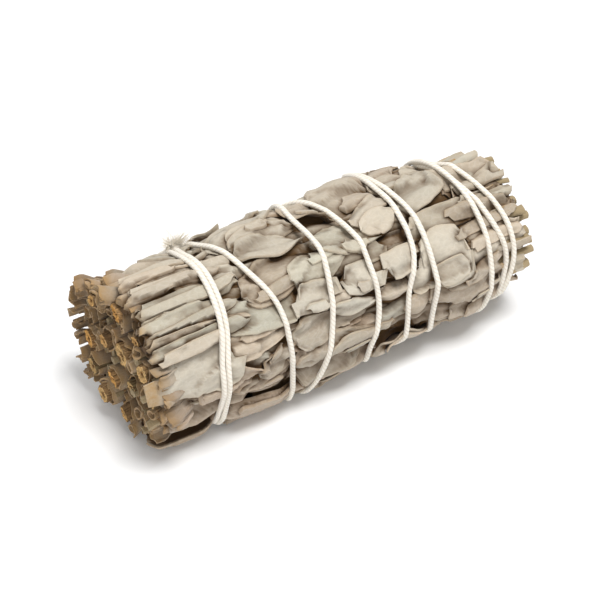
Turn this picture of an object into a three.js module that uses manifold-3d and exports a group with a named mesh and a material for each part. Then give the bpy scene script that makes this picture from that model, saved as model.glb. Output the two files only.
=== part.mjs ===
// Sage bunch: dried sage sprigs laid side by side and wound with one cotton string.
// Millimetres, +Z up. X runs from the cut stem ends to the leaf tips, and the bunch lies on z = 0.
// A place on the bunch is given as x, an angle round its axis (0 on top, 90 towards -Y,
// 180 underneath) and a distance from the axis.
import * as THREE from 'three';
import { mergeVertices } from 'three/addons/utils/BufferGeometryUtils.js';
import Module from 'manifold-3d';

const wasm = await Module();
wasm.setup();

// Overall size
const HALF_LENGTH = 53.5;
const AXIS_HEIGHT = 20.5;
const AXIS_SIDE = 0.45;
const NEAR_RADIUS = 21.4;
const WAIST_LOSS = 1.0;
const FAR_LOSS = 0.7;
const TIP_LOSS = 2.0;
const WAIST_SLOPE = [-45, 0];
const FAR_SLOPE = [0, 36];
const TIP_SLOPE = [34, 44];

// Leaves
const BLADE = 0.7;
const GAP = 0.3;
const LEAF_LIFT = 0.33;
const BED_DEPTH = 4.6;
const FAR_BED_DEPTH = 3.2;
const BED_ROUGHNESS = 0.45;
const FIRST_PROUD = -0.8;
const LAST_PROUD = 0.4;
const PEG_TOP = 0.9;
const PEG_FOOT = 1.6;
const PEG_SINK = 1.5;
const CORE_START = -45.5;
const CORE_END = 44.0;
const INNER_RADIUS = 9.4;
const BED_SLOPE = [30, 44];
const CORE_STEP = 14.5;
const CORE_TURN = 16;
const CORE_JITTER = [-1.6, 2.6];
const HALF_GAP = 0.18;
const LEAST_REACH = 0.9;
const WIDE_LEAF = 6.5;
const BROAD_LEAF = 10.5;
const SLIM_LEAF = 4.7;
const LEAF_SEGMENT = 5.2;
const LEAST_ROWS = 3;
const EDGE_SPREAD = 1.4;
const DRAPE = { cells: 0.55, more: 0.5 };

// Height map of the bunch: length of a cell, and degrees of a cell
const MAP_STEP = 1;
const MAP_DEGREES = 3;
const MAP_COLUMNS = Math.round(360 / MAP_DEGREES);
const MAP_ROWS = Math.round((2 * HALF_LENGTH) / MAP_STEP) + 1;
const ROUND_OFF = 1.01;

// Pegs that join the leaves to the packed leaves: places to try, and what a place costs
const PEG_ALONG = { from: 0.12, to: 0.92, step: 0.08 };
const PEG_ACROSS = [0, -0.5, 0.5];
const PEG_SIDES = 3;
const PEG_MARGIN = 4;
const LEAST_MARGIN = 0.8;
const END_MARGIN = 3;
const COST_ALONG = 0.8;
const COST_MARGIN = 0.5;

// Leaf ends curled round the stems
const CURL = { clear: 1.1, sweep: 190, turned: 10, behind: 1.8, splits: 4, root: 5 };

// Leaf stalks at the far end
const STALK_SIDES = 4;
const STALK_SPREAD = 2.2;
const STALK_ROOT = 6;
const STALK_TAPER = 0.15;
const STALK_JITTER = 1.5;
const STALK_DEGREES = { outer: 16, inner: 60 };
const STALK_REACH = { outer: [11.2, 11.8], inner: [4.6, 7.0] };
const STALK_RADIUS = [1.05, 1.4];
const STALK_TIP = [47, 52.4];
const LONGEST_TIP = HALF_LENGTH - 0.1;

// String
const STRING_RADIUS = 0.6;
const STRING_SIDES = 5;
const STEPS_PER_TURN = 15;
const STRING_SAG = 0.15;
const GROOVE_DEPTH = 1.4;
const GROOVE_WIDTH = 3.2;
const GROOVE_REACH = 20;
const GROOVE_SQUEEZE = 0.5;
const STRING_CLEARANCE = 0.6;
const STRING_SPREAD = 1.2;
const TAUT_PASSES = 400;
const STEEP_SIDE = 0.3;
const BEND_SIZE = 1.6;
const KNOT_SIZE = { join: 1.3, loop: 1.6, tail: 1.3 };
const KNOT_X = -27.8;
const KNOT_ANGLE = -38;

// Stems
const STEM_SIDES = 6;
const STEM_TAPER = 0.62;
const STEM_BED = 12.0;
const STEM_FAR_BED = 10.8;
const STEM_BEND = 12;
const STEM_OVAL = 0.9;
const STEM_SWAY = 4;

// One row for each sprig: the stem's place at the cut end (distance from the axis, angle, diameter,
// x of its cut), x of its far end, and the angles between which its leaves are packed.
const OUTER_SPRIGS = [
  { reach: 15.0, angle: 1, width: 4.8, cut: -50.6, end: 47.5, from: -22, to: 18 },
  { reach: 15.4, angle: 34, width: 3.0, cut: -50.0, end: 44.0, from: 18, to: 49 },
  { reach: 15.0, angle: 61, width: 4.2, cut: -51.0, end: 48.5, from: 49, to: 75 },
  { reach: 15.3, angle: 90, width: 3.4, cut: -50.4, end: 46.0, from: 75, to: 111 },
  { reach: 15.2, angle: 134, width: 3.2, cut: -48.0, end: 43.0, from: 111, to: 156 },
  { reach: 14.8, angle: 171, width: 3.6, cut: -51.6, end: 46.5, from: 156, to: 185 },
  { reach: 14.2, angle: 200, width: 4.6, cut: -53.5, end: 44.5, from: 185, to: 214 },
  { reach: 15.0, angle: 229, width: 4.2, cut: -52.8, end: 48.0, from: 214, to: 240 },
  { reach: 14.9, angle: 254, width: 4.4, cut: -51.8, end: 45.5, from: 240, to: 275 },
  { reach: 15.2, angle: 311, width: 3.0, cut: -51.4, end: 47.0, from: 275, to: 338 },
];
const INNER_SPRIGS = [
  { reach: 5.6, angle: 32, width: 6.0, cut: -51.2, end: 49.0, from: -22, to: 82 },
  { reach: 6.6, angle: 117, width: 3.2, cut: -50.8, end: 45.0, from: 82, to: 152 },
  { reach: 6.0, angle: 193, width: 4.2, cut: -52.2, end: 48.0, from: 152, to: 240 },
  { reach: 6.2, angle: 289, width: 3.8, cut: -51.6, end: 46.5, from: 240, to: 338 },
];

// The leaves on the side that the string crosses at a slant, lowest first:
// x and angle of the root, x and angle of the tip, width, and the outline's kind.
const FRONT_LEAVES = [
  [-50.5, -13, -40, -12, 6.4, 'strip'],
  [-44, -27, -31, -10, 6.0, 'strip'],
  [-39, -36, -26, -20, 7.5, 'ovate'],
  [-50, 2, -29, -1, 4.6, 'strip'],
  [-48, 8, -22, 3, 3.6, 'strip'],
  [-49.5, 14, -37, 14, 3.6, 'strip'],
  [-49, 20, -36, 24, 3.4, 'strip'],
  [-40, 19, -24, 20, 3.0, 'strip'],
  [-48.5, 29, -37, 33, 4.2, 'ovate'],
  [-37, 29, -20, 30, 3.8, 'ovate'],
  [-49.5, 40, -36, 42, 3.8, 'strip'],
  [-47, 48, -34, 50, 3.4, 'strip'],
  [-34, 66, -13, 67, 7.4, 'ovate'],
  [-40, 88, -23, 92, 11.5, 'ovate'],
  [-14, 84, -3, 68, 9.0, 'ovate'],
  [-24, 99, -15, 81, 6.4, 'ovate'],
  [-48.5, 64, -30, 70, 14.0, 'blunt'],
  [-25, -10, -5, -30, 10.5, 'ovate'],
  [-38, 12, -15, 14, 3.8, 'pod'],
  [-31, 44, -12.5, 50, 7.8, 'blunt'],
  [-37.5, 31, -31.5, 38, 4.4, 'blunt'],
  [-24, 34, -4, 20, 10.0, 'ovate'],
  [-4, -27, 5, -4, 6.4, 'ovate'],
  [-21, -2, -4, -8, 6.6, 'pod'],
  [-21, 2, -4.5, 9, 6.2, 'pod'],
  [-12, 36, 2, 32, 9.0, 'ovate'],
  [-13, 50, -3, 55, 7.0, 'blunt'],
  [-4, 66, 8, 71, 4.6, 'ovate'],
  [-6, 103, 8, 95, 6.4, 'ovate'],
  [8, 70, 17, 73, 4.0, 'strip'],
  [0, 48, 9, 51, 7.0, 'blunt'],
  [-3, 14, 13, 28, 9.5, 'ovate'],
  [4, -24, 20, -17, 13.0, 'ovate'],
  [8, 14, 20, -4, 4.4, 'strip'],
  [9, 21, 20, 12, 6.0, 'pod'],
  [11, 51, 20, 49, 6.6, 'blunt'],
  [19, -24, 28, -8, 6.4, 'ovate'],
  [29, -24, 48, -14, 9.0, 'ovate'],
  [33, 2, 47.5, 5, 6.0, 'blunt'],
  [36, 20, 49, 20, 5.0, 'blunt'],
  [37, 36, 50, 37, 5.0, 'blunt'],
  [33, 51, 48, 52, 5.4, 'strip'],
  [31, 67, 49.5, 67, 6.2, 'strip'],
  [16, 100, 24, 84, 5.0, 'ovate'],
  [20, 32, 38, 31, 5.6, 'blunt'],
  [21, 12, 33, -5, 8.4, 'blunt'],
  [22, 92, 44, 90, 9.4, 'ovate'],
  [19.5, 63, 33, 60, 13.5, 'blunt'],
];

// The leaves on the other side stand in rows from the cut end to the tips.
const BACK_ROWS = [-49, -33, -13, 7, 27];
const BACK_FROM = 113;
const BACK_TO = 328;
const BACK_PER_ROW = 6;
const BACK_LAST = 49;
const BACK_TURN = 5;
const BACK_SHIFT = 2;
const BACK_SLANT = 16;
const BACK_LENGTH = { row: [21, 27], last: [18, 20] };
const BACK_WIDTH = { first: [7, 10], row: [9.5, 13] };
const OVATE_SHARE = 0.7;

// Two leaves underneath bulge down between the turns of string, and the bunch lies on them.
const REST_LEAVES = [
  [-30, 177, -15, 183, 11, 'blunt'],
  [9, 183, 21, 177, 10, 'blunt'],
];
const REST_BULGE = 0.3;

// The string's turns in winding order: x where each turn passes these angles.
const TURN_ANGLES = [-45, -15, 15, 45, 75, 110];
const TURNS = [
  [-30.8, -31.6, -31.2, -32.1, -34.1, -34.2],
  [-29.4, -30.2, -29.8, -30.7, -32.7, -32.8],
  [-27.0, -24.2, -20.6, -17.2, -16.2, -15.5],
  [-1.0, 3.8, 6.5, 7.2, 7.6, 5.5],
  [20.9, 21.2, 22.5, 23.0, 23.5, 23.0],
  [35.7, 35.5, 38.0, 41.0, 43.8, 43.5],
  [37.5, 39.5, 42.5, 45.0, 46.0, 45.0],
  [35.3, 35.2, 37.0, 38.2, 38.5, 38.5],
  [19.6, 19.7, 20.0, 19.2, 16.5, 15.8],
  [-2.5, -3.6, -3.0, -3.8, -5.0, -7.5],
];

// The place, behind the tips, where the string turns round to wind back.
const TURN_ROUND = 7 * STEPS_PER_TURN - 5;

// Short edges that the cuts leave are drawn together, so that no face is a sliver.
const SHORTEST_EDGE = 0.14;
const LEAST_TURN = 0.35;
const WELD = 1e-4;
const FLOOR_DEPTH = 20;

const LEAF_LOOKS = [0xc2b8a5, 0xb9b09c, 0xc6bcab, 0xb4ab9a, 0xbfb29f, 0xb0a695];
const STEM_LOOKS = [0xa97c45, 0x8f6f48, 0x9c7a4e, 0x7b6746];
const STRING_LOOK = { color: 0xe0d4c7, roughness: 0.9, metalness: 0 };

const SEED = 20451;

const ramp = (value, from, to) => THREE.MathUtils.clamp((value - from) / (to - from), 0, 1);
const radians = THREE.MathUtils.degToRad;

// Seeded random numbers between 0 and 1.
function drawFrom(seed) {
  let state = seed;
  return () => {
    state = (state + 0x6d2b79f5) | 0;
    let mixed = Math.imul(state ^ (state >>> 15), 1 | state);
    mixed = (mixed + Math.imul(mixed ^ (mixed >>> 7), 61 | mixed)) ^ mixed;
    return ((mixed ^ (mixed >>> 14)) >>> 0) / 4294967296;
  };
}
const draw = drawFrom(SEED);
const between = (low, high) => low + (high - low) * draw();

// The bunch is thickest near the cut end, slimmer at the waist and drawn in at the tips.
function radiusAt(x) {
  return NEAR_RADIUS - WAIST_LOSS * ramp(x, ...WAIST_SLOPE) - FAR_LOSS * ramp(x, ...FAR_SLOPE)
    - TIP_LOSS * ramp(x, ...TIP_SLOPE);
}

function polar(x, angle, reach) {
  const turn = radians(angle);
  return [x, AXIS_SIDE - reach * Math.sin(turn), AXIS_HEIGHT + reach * Math.cos(turn)];
}

const bedDepth = (x) => THREE.MathUtils.lerp(BED_DEPTH, FAR_BED_DEPTH, ramp(x, ...BED_SLOPE));

const arcLength = (degrees, x) => radians(degrees) * radiusAt(x);
const arcDegrees = (length, x) => THREE.MathUtils.radToDeg(length / radiusAt(x));

// Solids
function solidFrom(points, triangles) {
  const flat = points.flat();
  let volume = 0;
  const a = new THREE.Vector3();
  const b = new THREE.Vector3();
  const c = new THREE.Vector3();
  for (let i = 0; i < triangles.length; i += 3) {
    a.fromArray(points[triangles[i]]);
    b.fromArray(points[triangles[i + 1]]);
    c.fromArray(points[triangles[i + 2]]);
    volume += a.dot(b.cross(c));
  }
  const facing = volume < 0 ? triangles.slice().reverse() : triangles;
  const mesh = new wasm.Mesh({
    numProp: 3,
    vertProperties: new Float32Array(flat),
    triVerts: new Uint32Array(facing),
  });
  return new wasm.Manifold(mesh);
}

function solidFromGeometry(geometry) {
  geometry.deleteAttribute('normal');
  geometry.deleteAttribute('uv');
  const merged = mergeVertices(geometry, WELD);
  const places = merged.attributes.position;
  const points = [];
  for (let i = 0; i < places.count; i += 1) {
    points.push([places.getX(i), places.getY(i), places.getZ(i)]);
  }
  return solidFrom(points, Array.from(merged.index.array));
}

// A closed sheet of rows by columns, split into triangles alike on both faces.
function sheetSolid(rows, columns, place) {
  const points = [];
  for (const side of [0, 1]) {
    for (let i = 0; i <= rows; i += 1) {
      for (let j = 0; j <= columns; j += 1) points.push(place(i, j, side));
    }
  }
  const layer = (rows + 1) * (columns + 1);
  const at = (i, j, side) => side * layer + i * (columns + 1) + j;
  const triangles = [];
  for (let i = 0; i < rows; i += 1) {
    for (let j = 0; j < columns; j += 1) {
      triangles.push(at(i, j, 1), at(i + 1, j, 1), at(i + 1, j + 1, 1));
      triangles.push(at(i, j, 1), at(i + 1, j + 1, 1), at(i, j + 1, 1));
      triangles.push(at(i, j, 0), at(i + 1, j + 1, 0), at(i + 1, j, 0));
      triangles.push(at(i, j, 0), at(i, j + 1, 0), at(i + 1, j + 1, 0));
    }
  }
  const edge = [];
  for (let j = 0; j < columns; j += 1) edge.push([0, j]);
  for (let i = 0; i < rows; i += 1) edge.push([i, columns]);
  for (let j = columns; j > 0; j -= 1) edge.push([rows, j]);
  for (let i = rows; i > 0; i -= 1) edge.push([i, 0]);
  edge.forEach(([i, j], k) => {
    const [m, n] = edge[(k + 1) % edge.length];
    triangles.push(at(i, j, 0), at(i, j, 1), at(m, n, 1));
    triangles.push(at(i, j, 0), at(m, n, 1), at(m, n, 0));
  });
  return solidFrom(points, triangles);
}

// A solid through closed rings of points, all with the same count, with flat ends.
function loftSolid(rings) {
  const count = rings[0].length;
  const triangles = [];
  for (let i = 0; i + 1 < rings.length; i += 1) {
    for (let j = 0; j < count; j += 1) {
      const next = (j + 1) % count;
      triangles.push(i * count + j, i * count + next, (i + 1) * count + next);
      triangles.push(i * count + j, (i + 1) * count + next, (i + 1) * count + j);
    }
  }
  const outline = rings[0].map(([, y, z]) => new THREE.Vector2(y, z));
  const last = (rings.length - 1) * count;
  const turned = THREE.ShapeUtils.isClockWise(outline);
  const cap = turned ? outline.slice().reverse() : outline;
  const index = (k) => (turned ? count - 1 - k : k);
  for (const [a, b, c] of THREE.ShapeUtils.triangulateShape(cap, [])) {
    const face = [index(a), index(b), index(c)];
    const along = turned ? face : face.slice().reverse();
    triangles.push(...along);
    triangles.push(...along.slice().reverse().map((k) => k + last));
  }
  return solidFrom(rings.flat(), triangles);
}

// The string
function stringRoute() {
  const points = [];
  TURNS.forEach((places, turn) => {
    places.forEach((x, k) => {
      const angle = TURN_ANGLES[k] + 360 * turn;
      points.push(new THREE.Vector3(x, arcLength(angle, 0), 0));
    });
  });
  points.push(new THREE.Vector3(KNOT_X, arcLength(360 * TURNS.length + KNOT_ANGLE, 0), 0));
  const curve = new THREE.CatmullRomCurve3(points, false, 'centripetal');
  const count = TURNS.length * STEPS_PER_TURN;
  return curve.getSpacedPoints(count).map((point) => ({ x: point.x, angle: arcDegrees(point.y, 0) }));
}

// Depth of the hollow that the string presses into the leaves.
function grooveAt(x, angle, route) {
  let nearest = Infinity;
  for (const place of route) {
    const turned = ((((place.angle - angle) % 360) + 540) % 360) - 180;
    if (Math.abs(turned) > GROOVE_REACH) continue;
    nearest = Math.min(nearest, Math.hypot(place.x - x, arcLength(turned, x) * GROOVE_SQUEEZE));
  }
  return GROOVE_DEPTH * Math.exp(-((nearest / GROOVE_WIDTH) ** 2));
}

// Height map of the bunch, as distances from the axis, that grows as leaves are laid on.
function bedMap(route) {
  const map = [];
  for (let i = 0; i < MAP_ROWS; i += 1) {
    const x = -HALF_LENGTH + i * MAP_STEP;
    const row = [];
    for (let j = 0; j < MAP_COLUMNS; j += 1) {
      row.push(radiusAt(x) - bedDepth(x) - grooveAt(x, j * MAP_DEGREES, route));
    }
    map.push(row);
  }
  return map;
}

// Visits the places of the map within a round reach.
function overMap(x, angle, spread, visit) {
  const middle = (x + HALF_LENGTH) / MAP_STEP;
  const reach = spread / MAP_STEP;
  const degrees = arcDegrees(spread, x) / MAP_DEGREES;
  const centre = angle / MAP_DEGREES;
  for (let i = Math.ceil(middle - reach); i <= middle + reach; i += 1) {
    if (i < 0 || i >= MAP_ROWS) continue;
    for (let j = Math.ceil(centre - degrees); j <= centre + degrees; j += 1) {
      if (Math.hypot((i - middle) / reach, (j - centre) / degrees) > ROUND_OFF) continue;
      visit(i, ((j % MAP_COLUMNS) + MAP_COLUMNS) % MAP_COLUMNS);
    }
  }
}

function highest(map, x, angle, spread) {
  let top = 0;
  overMap(x, angle, spread, (i, j) => {
    top = Math.max(top, map[i][j]);
  });
  return top;
}

// Half the width of a leaf along its length, as a share of its full half width.
const OUTLINES = {
  ovate: (s) => 0.3 + 0.7 * Math.sin(Math.PI * Math.min(1, 0.15 + 0.78 * s)) - 0.18 * s ** 6,
  pod: (s) => 0.42 + 0.58 * Math.sin(Math.PI * Math.min(1, 0.05 + 0.72 * s)),
  strip: (s) => 0.82 + 0.18 * Math.sin(Math.PI * s),
  blunt: (s) => 0.72 + 0.28 * Math.sin(Math.PI * Math.min(1, 0.15 + 0.62 * s)),
};

function columnsAcross(width) {
  if (width > BROAD_LEAF) return 3;
  return width < SLIM_LEAF ? 1 : 2;
}

function leafGrid([x0, angle0, x1, angle1, width, kind]) {
  const along = x1 - x0;
  const middle = (x0 + x1) / 2;
  const across = arcLength(angle1 - angle0, middle);
  const length = Math.hypot(along, across);
  const rows = Math.max(LEAST_ROWS, Math.round(length / LEAF_SEGMENT));
  const columns = columnsAcross(width);
  const place = (s, t, grow) => {
    const half = OUTLINES[kind](s) * width * 0.5 + grow;
    const run = s + (grow / length) * (2 * s - 1);
    const sideways = half * t;
    return {
      x: x0 + along * run - (across / length) * sideways,
      angle: angle0 + (angle1 - angle0) * run + arcDegrees((along / length) * sideways, middle),
    };
  };
  return { rows, columns, length, width, place };
}

// Lays one leaf on the bunch: its underside clears what lies below, and it is added to the map.
function layLeaf(leaf, map, ceiling) {
  const grid = leafGrid(leaf);
  const spread = DRAPE.cells * Math.max(grid.length / grid.rows, grid.width / grid.columns) + DRAPE.more;
  const heights = [];
  for (let i = 0; i <= grid.rows; i += 1) {
    const line = [];
    for (let j = 0; j <= grid.columns; j += 1) {
      const spot = grid.place(i / grid.rows, (2 * j) / grid.columns - 1, 0);
      const lift = highest(map, spot.x, spot.angle, spread) + LEAF_LIFT;
      line.push(Math.min(lift, ceiling(spot.x, spot.angle)));
    }
    heights.push(line);
  }
  const shape = (grow) => sheetSolid(grid.rows, grid.columns, (i, j, side) => {
    const spot = grid.place(i / grid.rows, (2 * j) / grid.columns - 1, grow);
    return polar(spot.x, spot.angle, heights[i][j] + side * BLADE + (2 * side - 1) * grow);
  });
  for (let i = 0; i <= 2 * grid.rows; i += 1) {
    for (let j = 0; j <= 2 * grid.columns; j += 1) {
      const spot = grid.place(i / (2 * grid.rows), j / grid.columns - 1, 0);
      const low = heights[Math.floor(i / 2)][Math.floor(j / 2)];
      const high = heights[Math.ceil(i / 2)][Math.ceil(j / 2)];
      overMap(spot.x, spot.angle, EDGE_SPREAD, (m, n) => {
        map[m][n] = Math.max(map[m][n], Math.max(low, high) + BLADE);
      });
    }
  }
  return { grid, heights, body: shape(0), room: shape(GAP) };
}

// The sprig whose packed leaves lie under a place.
function sprigUnder(angle) {
  const turned = ((angle % 360) + 360) % 360;
  return OUTER_SPRIGS.findIndex(({ from, to }) => {
    return (turned >= from && turned < to) || (turned - 360 >= from && turned - 360 < to);
  });
}

function marginIn(index, angle) {
  const { from, to } = OUTER_SPRIGS[index];
  const middle = (from + to) / 2;
  const turned = ((((angle - middle) % 360) + 540) % 360) - 180;
  return (to - from) / 2 - Math.abs(turned);
}

// A peg joins the leaf to the packed leaves of its own sprig.
function pegSolid(x, angle, top, grow) {
  const foot = radiusAt(x) - bedDepth(x) - GROOVE_DEPTH - PEG_SINK;
  const height = top - foot + grow;
  const peg = new THREE.CylinderGeometry(PEG_TOP + 2 * grow, PEG_FOOT + 2 * grow, height, PEG_SIDES);
  peg.rotateX(Math.PI / 2);
  peg.translate(0, 0, foot + height / 2);
  peg.rotateX(radians(angle));
  peg.translate(x, AXIS_SIDE, AXIS_HEIGHT);
  return solidFromGeometry(peg);
}

// The peg stands where it crosses the fewest leaves of other sprigs, near the leaf's root if it can.
const PEG_PLACES = [];
for (let { from: along } = PEG_ALONG; along < PEG_ALONG.to; along += PEG_ALONG.step) {
  for (const across of PEG_ACROSS) PEG_PLACES.push({ along, across });
}

// Height of a laid leaf's underside at a share of its length and of its width.
function heightInside({ grid, heights }, along, across) {
  const row = Math.min(grid.rows - 1, Math.floor(along * grid.rows));
  const column = Math.min(grid.columns - 1, Math.floor(across * grid.columns));
  const u = along * grid.rows - row;
  const v = across * grid.columns - column;
  const near = THREE.MathUtils.lerp(heights[row][column], heights[row][column + 1], v);
  const far = THREE.MathUtils.lerp(heights[row + 1][column], heights[row + 1][column + 1], v);
  return THREE.MathUtils.lerp(near, far, u);
}

function pegFor(laid, pieces) {
  const { grid } = laid;
  let best = null;
  for (const { along, across } of PEG_PLACES) {
    if (across !== 0 && grid.width < WIDE_LEAF) continue;
    const spot = grid.place(along, across, 0);
    const owner = sprigUnder(spot.angle);
    const margin = marginIn(owner, spot.angle);
    const held = spot.x > CORE_START + END_MARGIN && spot.x < CORE_END - END_MARGIN;
    if (!held || margin < LEAST_MARGIN) continue;
    const top = heightInside(laid, along, (across + 1) / 2) + BLADE * 0.5;
    const make = (grow) => pegSolid(spot.x, spot.angle, top, grow);
    const room = make(GAP);
    const crossed = pieces.filter((piece) => overlaps(piece.body, room)
      && piece.body.intersect(room).volume() > 0).length;
    const cost = crossed + COST_ALONG * along + COST_MARGIN * Math.max(0, PEG_MARGIN - margin);
    if (!best || cost < best.cost) best = { cost, owner, body: make(0), room };
  }
  return best;
}

// The packed leaves of a sprig: a bundle between two angles, rough outside and at its ends.
function coreSolid(sprig, inside, outside) {
  const stations = inside > 0 ? Math.round((CORE_END - CORE_START) / CORE_STEP) : 1;
  const start = CORE_START + between(...CORE_JITTER);
  const end = CORE_END + between(-CORE_JITTER[1], -CORE_JITTER[0]);
  const parts = Math.max(2, Math.round((sprig.to - sprig.from) / CORE_TURN));
  const rings = [];
  for (let i = 0; i <= stations; i += 1) {
    const x = start + ((end - start) * i) / stations;
    const ring = [];
    for (let k = 0; k <= parts; k += 1) {
      const share = k / parts;
      const reach = outside(x);
      const trim = THREE.MathUtils.radToDeg(HALF_GAP / reach);
      const angle = THREE.MathUtils.lerp(sprig.from + trim, sprig.to - trim, share);
      ring.push(polar(x, angle, reach - between(0, BED_ROUGHNESS)));
    }
    const inner = Math.max(inside + HALF_GAP, LEAST_REACH);
    const trim = THREE.MathUtils.radToDeg(HALF_GAP / inner);
    for (let k = parts; k >= 0; k -= 1) {
      const angle = THREE.MathUtils.lerp(sprig.from + trim, sprig.to - trim, k / parts);
      ring.push(polar(x, angle, inner));
    }
    rings.push(ring);
  }
  return loftSolid(rings);
}

// Stems: each one dips from its place at the cut end to run inside the packed leaves.
function stemCentre(sprig, x) {
  const share = ramp(x, sprig.cut, sprig.end);
  const bed = Math.min(sprig.reach, THREE.MathUtils.lerp(STEM_BED, STEM_FAR_BED, share));
  const reach = THREE.MathUtils.lerp(sprig.reach, bed, ramp(x, sprig.cut, sprig.cut + STEM_BEND));
  return { angle: sprig.angle + STEM_SWAY * Math.sin(Math.PI * share), reach };
}

function stemSolid(sprig, grow) {
  const places = [sprig.cut - grow, sprig.cut + STEM_BEND, 0, sprig.end + grow];
  const rings = places.map((x) => {
    const { angle, reach } = stemCentre(sprig, x);
    const [, y, z] = polar(x, angle, reach);
    const share = ramp(x, sprig.cut, sprig.end);
    const radius = sprig.width * 0.5 * THREE.MathUtils.lerp(1, STEM_TAPER, share) + grow;
    const ring = [];
    for (let k = 0; k < STEM_SIDES; k += 1) {
      const turn = (2 * Math.PI * k) / STEM_SIDES + radians(sprig.angle);
      ring.push([x, y + radius * Math.cos(turn), z + STEM_OVAL * radius * Math.sin(turn)]);
    }
    return ring;
  });
  return loftSolid(rings);
}

// A leaf end curled round the stem at the cut end, open on the side away from the bunch's axis.
function curlSolid(sprig, grow) {
  const radius = sprig.width * 0.5 + CURL.clear;
  const first = sprig.angle + 270 + CURL.turned - CURL.sweep / 2;
  const ends = [sprig.cut + CURL.behind - grow, CORE_START + CURL.root];
  return sheetSolid(1, CURL.splits, (i, j, side) => {
    const x = ends[i];
    const { angle, reach } = stemCentre(sprig, x);
    const [, y, z] = polar(x, angle, reach);
    const edge = (grow / radius) * (2 * (j / CURL.splits) - 1);
    const turn = radians(first + (CURL.sweep * j) / CURL.splits) + edge;
    const away = radius + side * BLADE + (2 * side - 1) * grow;
    return [x, y + away * Math.cos(turn), z + away * Math.sin(turn)];
  });
}

// Leaf stalks that stand out at the far end.
function stalkSolid(x0, x1, angle, reach, radius, grow) {
  const rings = [x0, x1 + grow].map((x, i) => {
    const [, y, z] = polar(x, angle, reach + STALK_SPREAD * i);
    const ring = [];
    for (let k = 0; k < STALK_SIDES; k += 1) {
      const turn = (2 * Math.PI * k) / STALK_SIDES + radians(angle);
      const size = (radius + grow) * (1 - STALK_TAPER * i);
      ring.push([x, y + size * Math.cos(turn), z + size * Math.sin(turn)]);
    }
    return ring;
  });
  return loftSolid(rings);
}

const LONGEST = OUTER_SPRIGS[2];

function stalksFor(sprig, outer) {
  const ring = outer ? 'outer' : 'inner';
  const count = Math.max(1, Math.round((sprig.to - sprig.from) / STALK_DEGREES[ring]));
  const stalks = [];
  for (let k = 0; k < count; k += 1) {
    const share = (k + 0.5) / count;
    const angle = THREE.MathUtils.lerp(sprig.from, sprig.to, share) + between(-STALK_JITTER, STALK_JITTER);
    const reach = between(...STALK_REACH[ring]);
    const radius = between(...STALK_RADIUS);
    const tip = k === 0 && sprig === LONGEST ? LONGEST_TIP : between(...STALK_TIP);
    const make = (grow) => stalkSolid(CORE_END - STALK_ROOT, tip, angle, reach, radius, grow);
    stalks.push({ body: make(0), room: make(GAP) });
  }
  return stalks;
}

// The string's distance from the axis: it lies on the leaves, pulled straight between high spots.
function tautRoute(route, map) {
  const floor = route.map(({ x, angle }) => {
    const rest = highest(map, x, angle, STRING_SPREAD) + STRING_RADIUS + GAP + STRING_SAG;
    return Math.min(rest, stringCeiling(angle));
  });
  const reach = floor.slice();
  for (let pass = 0; pass < TAUT_PASSES; pass += 1) {
    for (let i = 1; i + 1 < reach.length; i += 1) {
      const half = radians((route[i + 1].angle - route[i - 1].angle) / 2);
      const chord = (Math.cos(half) * (reach[i - 1] + reach[i + 1])) / 2;
      reach[i] = Math.min(Math.max(floor[i], chord), stringCeiling(route[i].angle));
    }
  }
  return route.map(({ x, angle }, i) => new THREE.Vector3(...polar(x, angle, reach[i])));
}

// Underneath, the string stays above the plane that the bunch lies on.
function stringCeiling(angle) {
  const down = -Math.cos(radians(angle));
  if (down < STEEP_SIDE) return Infinity;
  return (AXIS_HEIGHT - STRING_RADIUS - STRING_CLEARANCE) / down;
}

function tubeSolid(points, radius, sides) {
  const outline = new THREE.Shape();
  for (let k = 0; k < sides; k += 1) {
    const turn = (2 * Math.PI * k) / sides;
    const spot = [radius * Math.cos(turn), radius * Math.sin(turn)];
    if (k === 0) outline.moveTo(...spot);
    else outline.lineTo(...spot);
  }
  outline.closePath();
  const path = new THREE.CatmullRomCurve3(points, false, 'centripetal');
  const options = { steps: points.length - 1, bevelEnabled: false, extrudePath: path };
  return solidFromGeometry(new THREE.ExtrudeGeometry(outline, options));
}

function beadSolid(centre, radius) {
  const bead = new THREE.IcosahedronGeometry(radius, 0);
  bead.translate(centre.x, centre.y, centre.z);
  return solidFromGeometry(bead);
}

// The string winds out to the tips and back, so each run crosses only the other one.
function stringSolid(points, radius) {
  const out = tubeSolid(points.slice(0, TURN_ROUND + 1), radius, STRING_SIDES);
  const back = tubeSolid(points.slice(TURN_ROUND), radius, STRING_SIDES);
  const bend = beadSolid(points[TURN_ROUND], radius * BEND_SIZE);
  return out.add(bend).add(back).add(knotSolid(points[0], points[points.length - 1], radius));
}

// The knot: a loop drawn tight over the ends, with one short frayed tail.
function knotSolid(first, last, radius) {
  const middle = first.clone().lerp(last, 0.5);
  const out = new THREE.Vector3(0, middle.y - AXIS_SIDE, middle.z - AXIS_HEIGHT).normalize();
  const side = new THREE.Vector3(1, 0, 0);
  const round = out.clone().cross(side);
  const at = (a, b, c) => middle.clone().addScaledVector(side, a)
    .addScaledVector(round, b).addScaledVector(out, c);
  const join = tubeSolid([first, at(0, 0, 0.5), last], radius * KNOT_SIZE.join, STRING_SIDES);
  const over = [at(-1.4, -1.2, 0.4), at(0, 0, 1.3), at(1.4, 1.2, 0.4)];
  const loop = tubeSolid(over, radius * KNOT_SIZE.loop, STRING_SIDES);
  const frayed = [at(0, 0, 0.9), at(0.4, 1.9, 1.7), at(1.6, 3.6, 2.6)];
  const tail = tubeSolid(frayed, radius * KNOT_SIZE.tail, STRING_SIDES);
  return join.add(loop).add(tail);
}

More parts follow.
